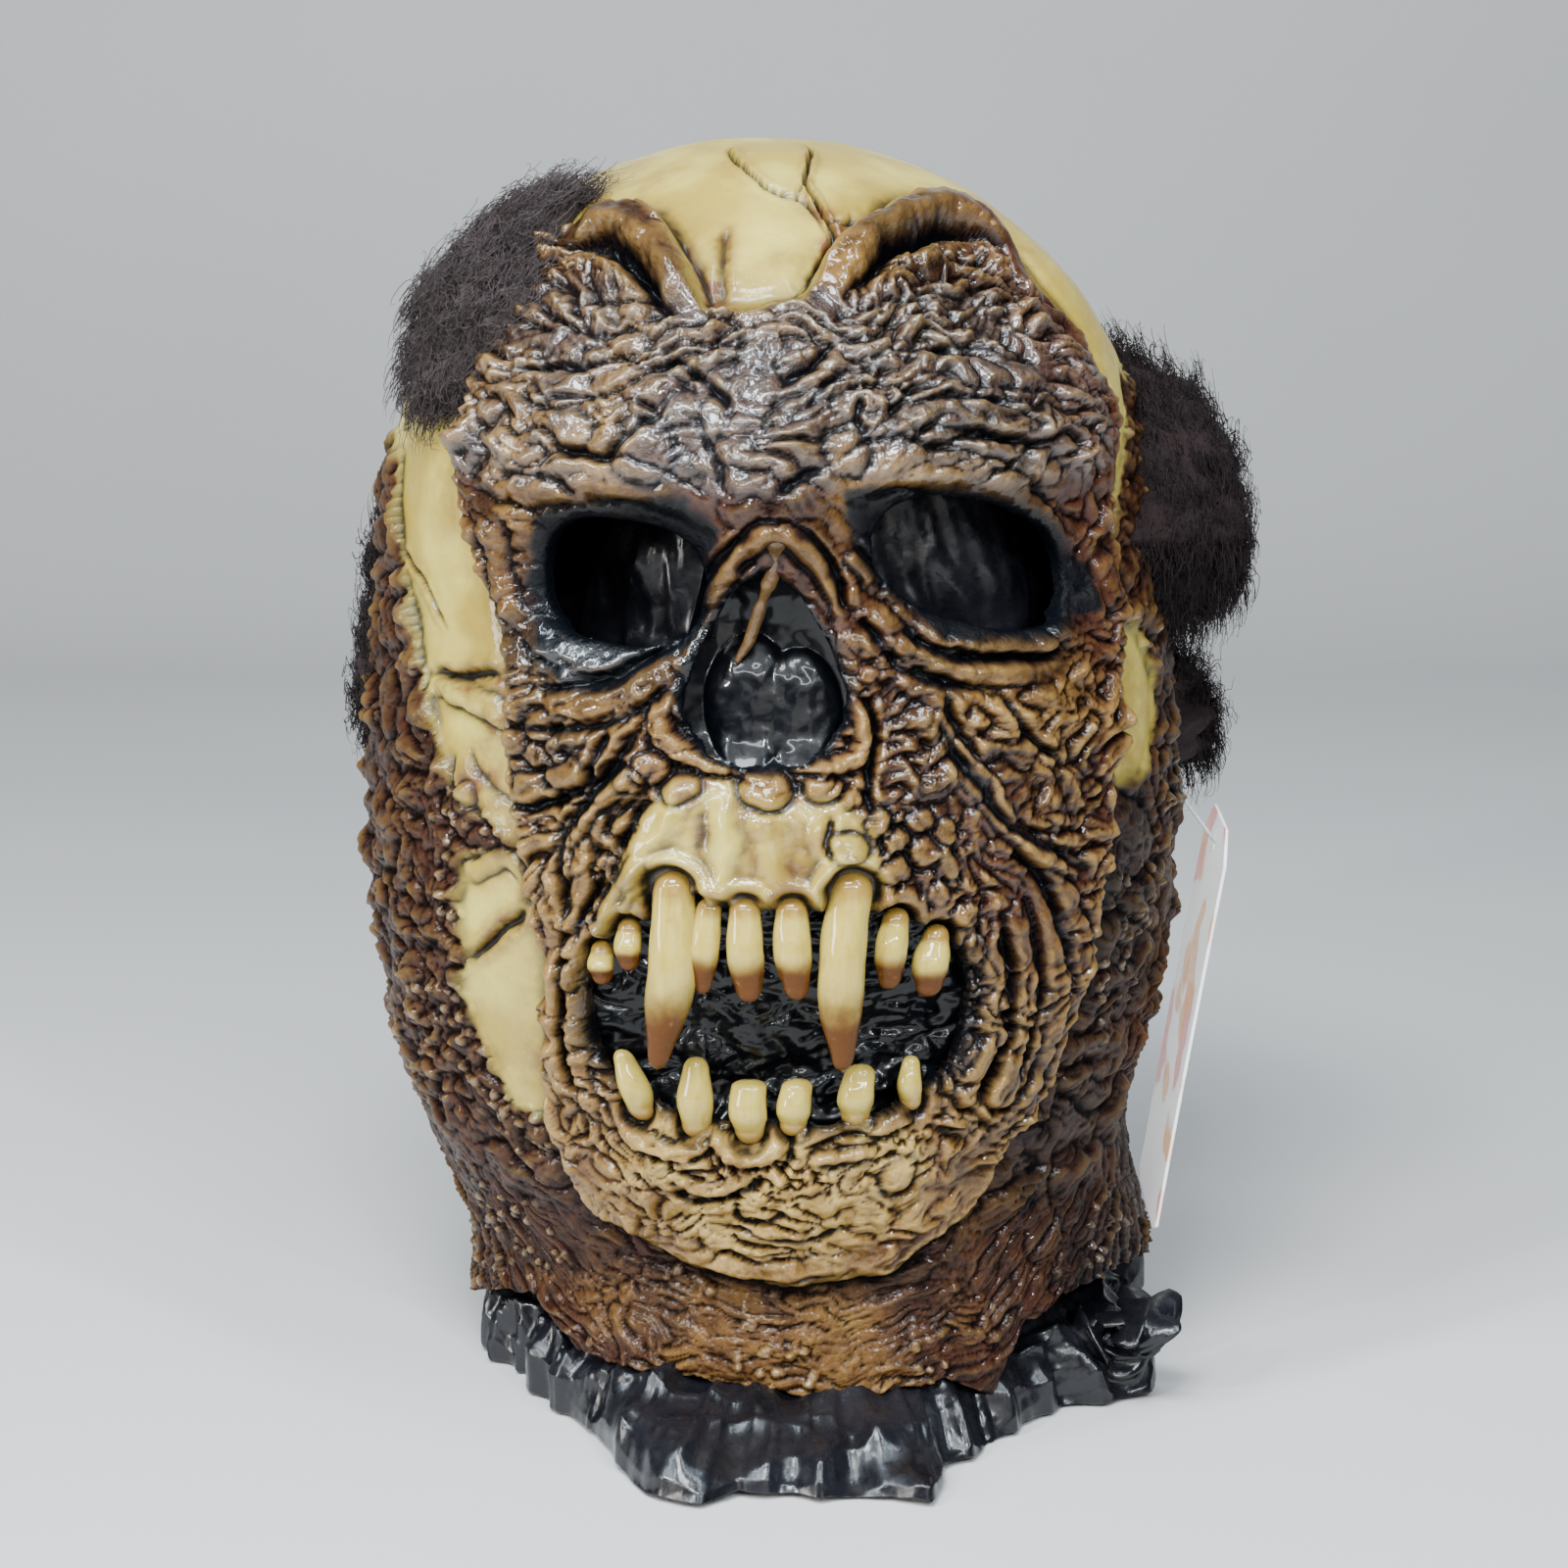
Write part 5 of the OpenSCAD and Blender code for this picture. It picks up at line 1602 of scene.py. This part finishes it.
def make_bag(material):
    """Thin black film: a slack dome in the head, and its crumpled mouth spread on the floor."""
    cols = 560
    phi = turned(cols)
    around = np.stack([np.cos(phi), np.sin(phi)], 1)
    rows = bag_mouth(phi, around) + bag_dome(phi, around)
    points = np.concatenate(rows)
    # the inner side: the film's own thickness behind the outer side
    centre = np.column_stack([np.full(len(points), BAG_MID[0]), np.full(len(points), BAG_MID[1]),
                              np.clip(points[:, 2], 30, BAG_SHOULDER)])
    inside = points + unit(centre - points) * FILM
    inside[:, 2] = np.maximum(inside[:, 2], 0.4)
    top = np.array([[*BAG_MID, BAG_TOP - 4.0]])
    j, count = np.arange(cols), len(points) + 1
    sides = grid_faces(len(rows), cols, True)
    last = (len(rows) - 1) * cols + j
    tops = np.stack([last, np.roll(last, -1), np.full(cols, count - 1)], 1)
    bag = make_object("film_bag", np.concatenate([points, top, inside, top - (0, 0, FILM)]) * MM,
                      [sides, tops, sides[:, ::-1] + count, tops[:, ::-1] + count, band(j, j + count)])
    place(bag, material, "bag", "black_film", "stuffing_bag")


def make_bag_tail(material):
    """The twisted tail of the bag's mouth, beside the neck."""
    rows, sides = 60, 48
    t = np.linspace(0, 1, rows)
    path = np.stack([np.interp(t, [0, 0.3, 0.65, 1], stops) for stops in (
        (84, 97, 103, 101), (-46, -52, -56, -60), (12, 11, 17, 27))], 1)
    wide = np.interp(t, [0, 0.35, 0.6, 0.8, 0.97, 1], [9, 6.5, 3.2, 6.5, 10, 9])
    turn = turned(sides)
    pleats = 1 + 0.34 * np.cos(5 * turn) + 0.14 * np.cos(11 * turn + 1)
    points = rings(path, turn[None, :] + 5.0 * t[:, None], wide[:, None] * pleats[None, :])
    points[..., 2] = np.maximum(points[..., 2], 0.8)
    tail = make_object("film_bag_tail", points.reshape(-1, 3) * MM,
                       [grid_faces(rows, sides, True), *end_caps(rows, sides)])
    place(tail, material, "bag", "black_film")


# ---------------------------------------------------------------------------
# Stage
# ---------------------------------------------------------------------------
# Lights: name, place, aim, size, watts and tint
WHITE, COOL, BLUE, WARM = (0.93, 0.97, 1.0), (0.90, 0.96, 1.0), (0.74, 0.89, 1.0), (1.0, 0.97, 0.93)
LIGHTS = [
    ("overhead_softbox", (-0.15, -0.80, 1.25), (0, 0, 0.22), (0.5, 0.32), 22, WHITE),
    ("ceiling_strip_left", (-0.5, -0.45, 1.15), (0, 0, 0.3), (0.06, 1.0), 12, BLUE),
    ("ceiling_strip_right", (0.42, -0.5, 1.15), (0, 0, 0.3), (0.06, 1.0), 9, BLUE),
    ("front_strip", (0.0, -1.25, 0.95), (0, 0, 0.2), (1.2, 0.05), 9, (0.91, 0.96, 1.0)),
    ("left_fill", (-1.5, -1.0, 0.5), (0, 0, 0.18), (0.4, 0.6), 16, WARM),
    ("front_fill", (0.3, -1.8, 0.6), (0, 0, 0.18), (1.0, 0.6), 3, WARM),
    ("small_lamp_left", (-0.75, -0.85, 0.75), (0, 0, 0.18), (0.05, 0.05), 5, COOL),
    ("small_lamp_right", (0.5, -1.1, 0.8), (0, 0, 0.18), (0.05, 0.05), 5, COOL),
]


def make_floor():
    """A pale floor that bends up into a backdrop."""
    m = Nodes("pale_floor")
    m.output("Base Color", m.mix(m.noise(3, 2), (0.62, 0.61, 0.60), (0.67, 0.66, 0.65)))
    m.set(Roughness=0.8)
    bend, near, deep, wide, tall = 0.5, -2.2, 1.6, 4.0, 3.2
    turn = np.linspace(0, math.pi / 2, 24)
    curve = [(deep - bend + bend * math.sin(t), bend - bend * math.cos(t)) for t in turn]
    line = [(near, 0.0), *curve, (deep, tall)]
    points = [(x, y, z) for x in (-wide, wide) for y, z in line]
    n = len(line)
    faces = np.array([[i, i + 1, n + i + 1, n + i] for i in range(n - 1)])[:, ::-1]
    floor = make_object("pale_backdrop", points, [faces])
    floor.data.materials.append(m.material)


def make_lights():
    """A dim world and the lamps of a small studio."""
    world = bpy.data.worlds.new("soft_room")
    bpy.context.scene.world = world
    world.use_nodes = True
    background = world.node_tree.nodes["Background"].inputs
    background["Color"].default_value = (0.86, 0.9, 1.0, 1)
    background["Strength"].default_value = 0.05
    for name, place_at, aim, size, watts, tint in LIGHTS:
        light = bpy.data.lights.new(name, "AREA")
        light.shape = "RECTANGLE"
        light.size, light.size_y = size
        light.energy = watts
        light.color = tint
        lamp = bpy.data.objects.new(name, light)
        lamp.location = place_at
        lamp.rotation_euler = (Vector(aim) - Vector(place_at)).to_track_quat("-Z", "Y").to_euler()
        bpy.context.scene.collection.objects.link(lamp)


CAMERA_AT, LOOKS_DOWN, LENS = (0.0013, -0.972, 0.375), 12.1, 78.75


def make_camera():
    data = bpy.data.cameras.new("photo_view")
    data.sensor_width = 36
    data.lens = LENS
    camera = bpy.data.objects.new("photo_view", data)
    camera.location = CAMERA_AT
    camera.rotation_euler = (math.radians(90 - LOOKS_DOWN), 0, 0)
    bpy.context.scene.collection.objects.link(camera)
    bpy.context.scene.camera = camera


# ---------------------------------------------------------------------------
make_camera()
make_floor()
make_lights()
latex, lining, resin = skin_paint(), lining_paint(), tooth_paint()
crepe, film, card, nylon = hair_paint(), bag_paint(), card_paint(), nylon_paint()

make_skin(latex)
make_lining("mouth_membrane", "mouth_lining", lining, -89, 33, 126, 40, 7, 0.0, mouth_lumps)
make_lining("nasal_bulb", "nasal_lining", lining, -91.5, 13, 218, 29, 11, 0.3, nose_lumps)
make_septum(latex)
for row in UPPER_TEETH:
    make_tooth(resin, *row, down=True)
for row in LOWER_TEETH:
    make_tooth(resin, *row, down=False)
for number, row in enumerate(TUFTS):
    make_tuft(crepe, 200 + 10 * number, *row)
make_tag(card)
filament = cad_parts["tag_filament"]
filament.data.materials.clear()
filament.data.materials.append(nylon)
make_bag(film)
make_bag_tail(film)
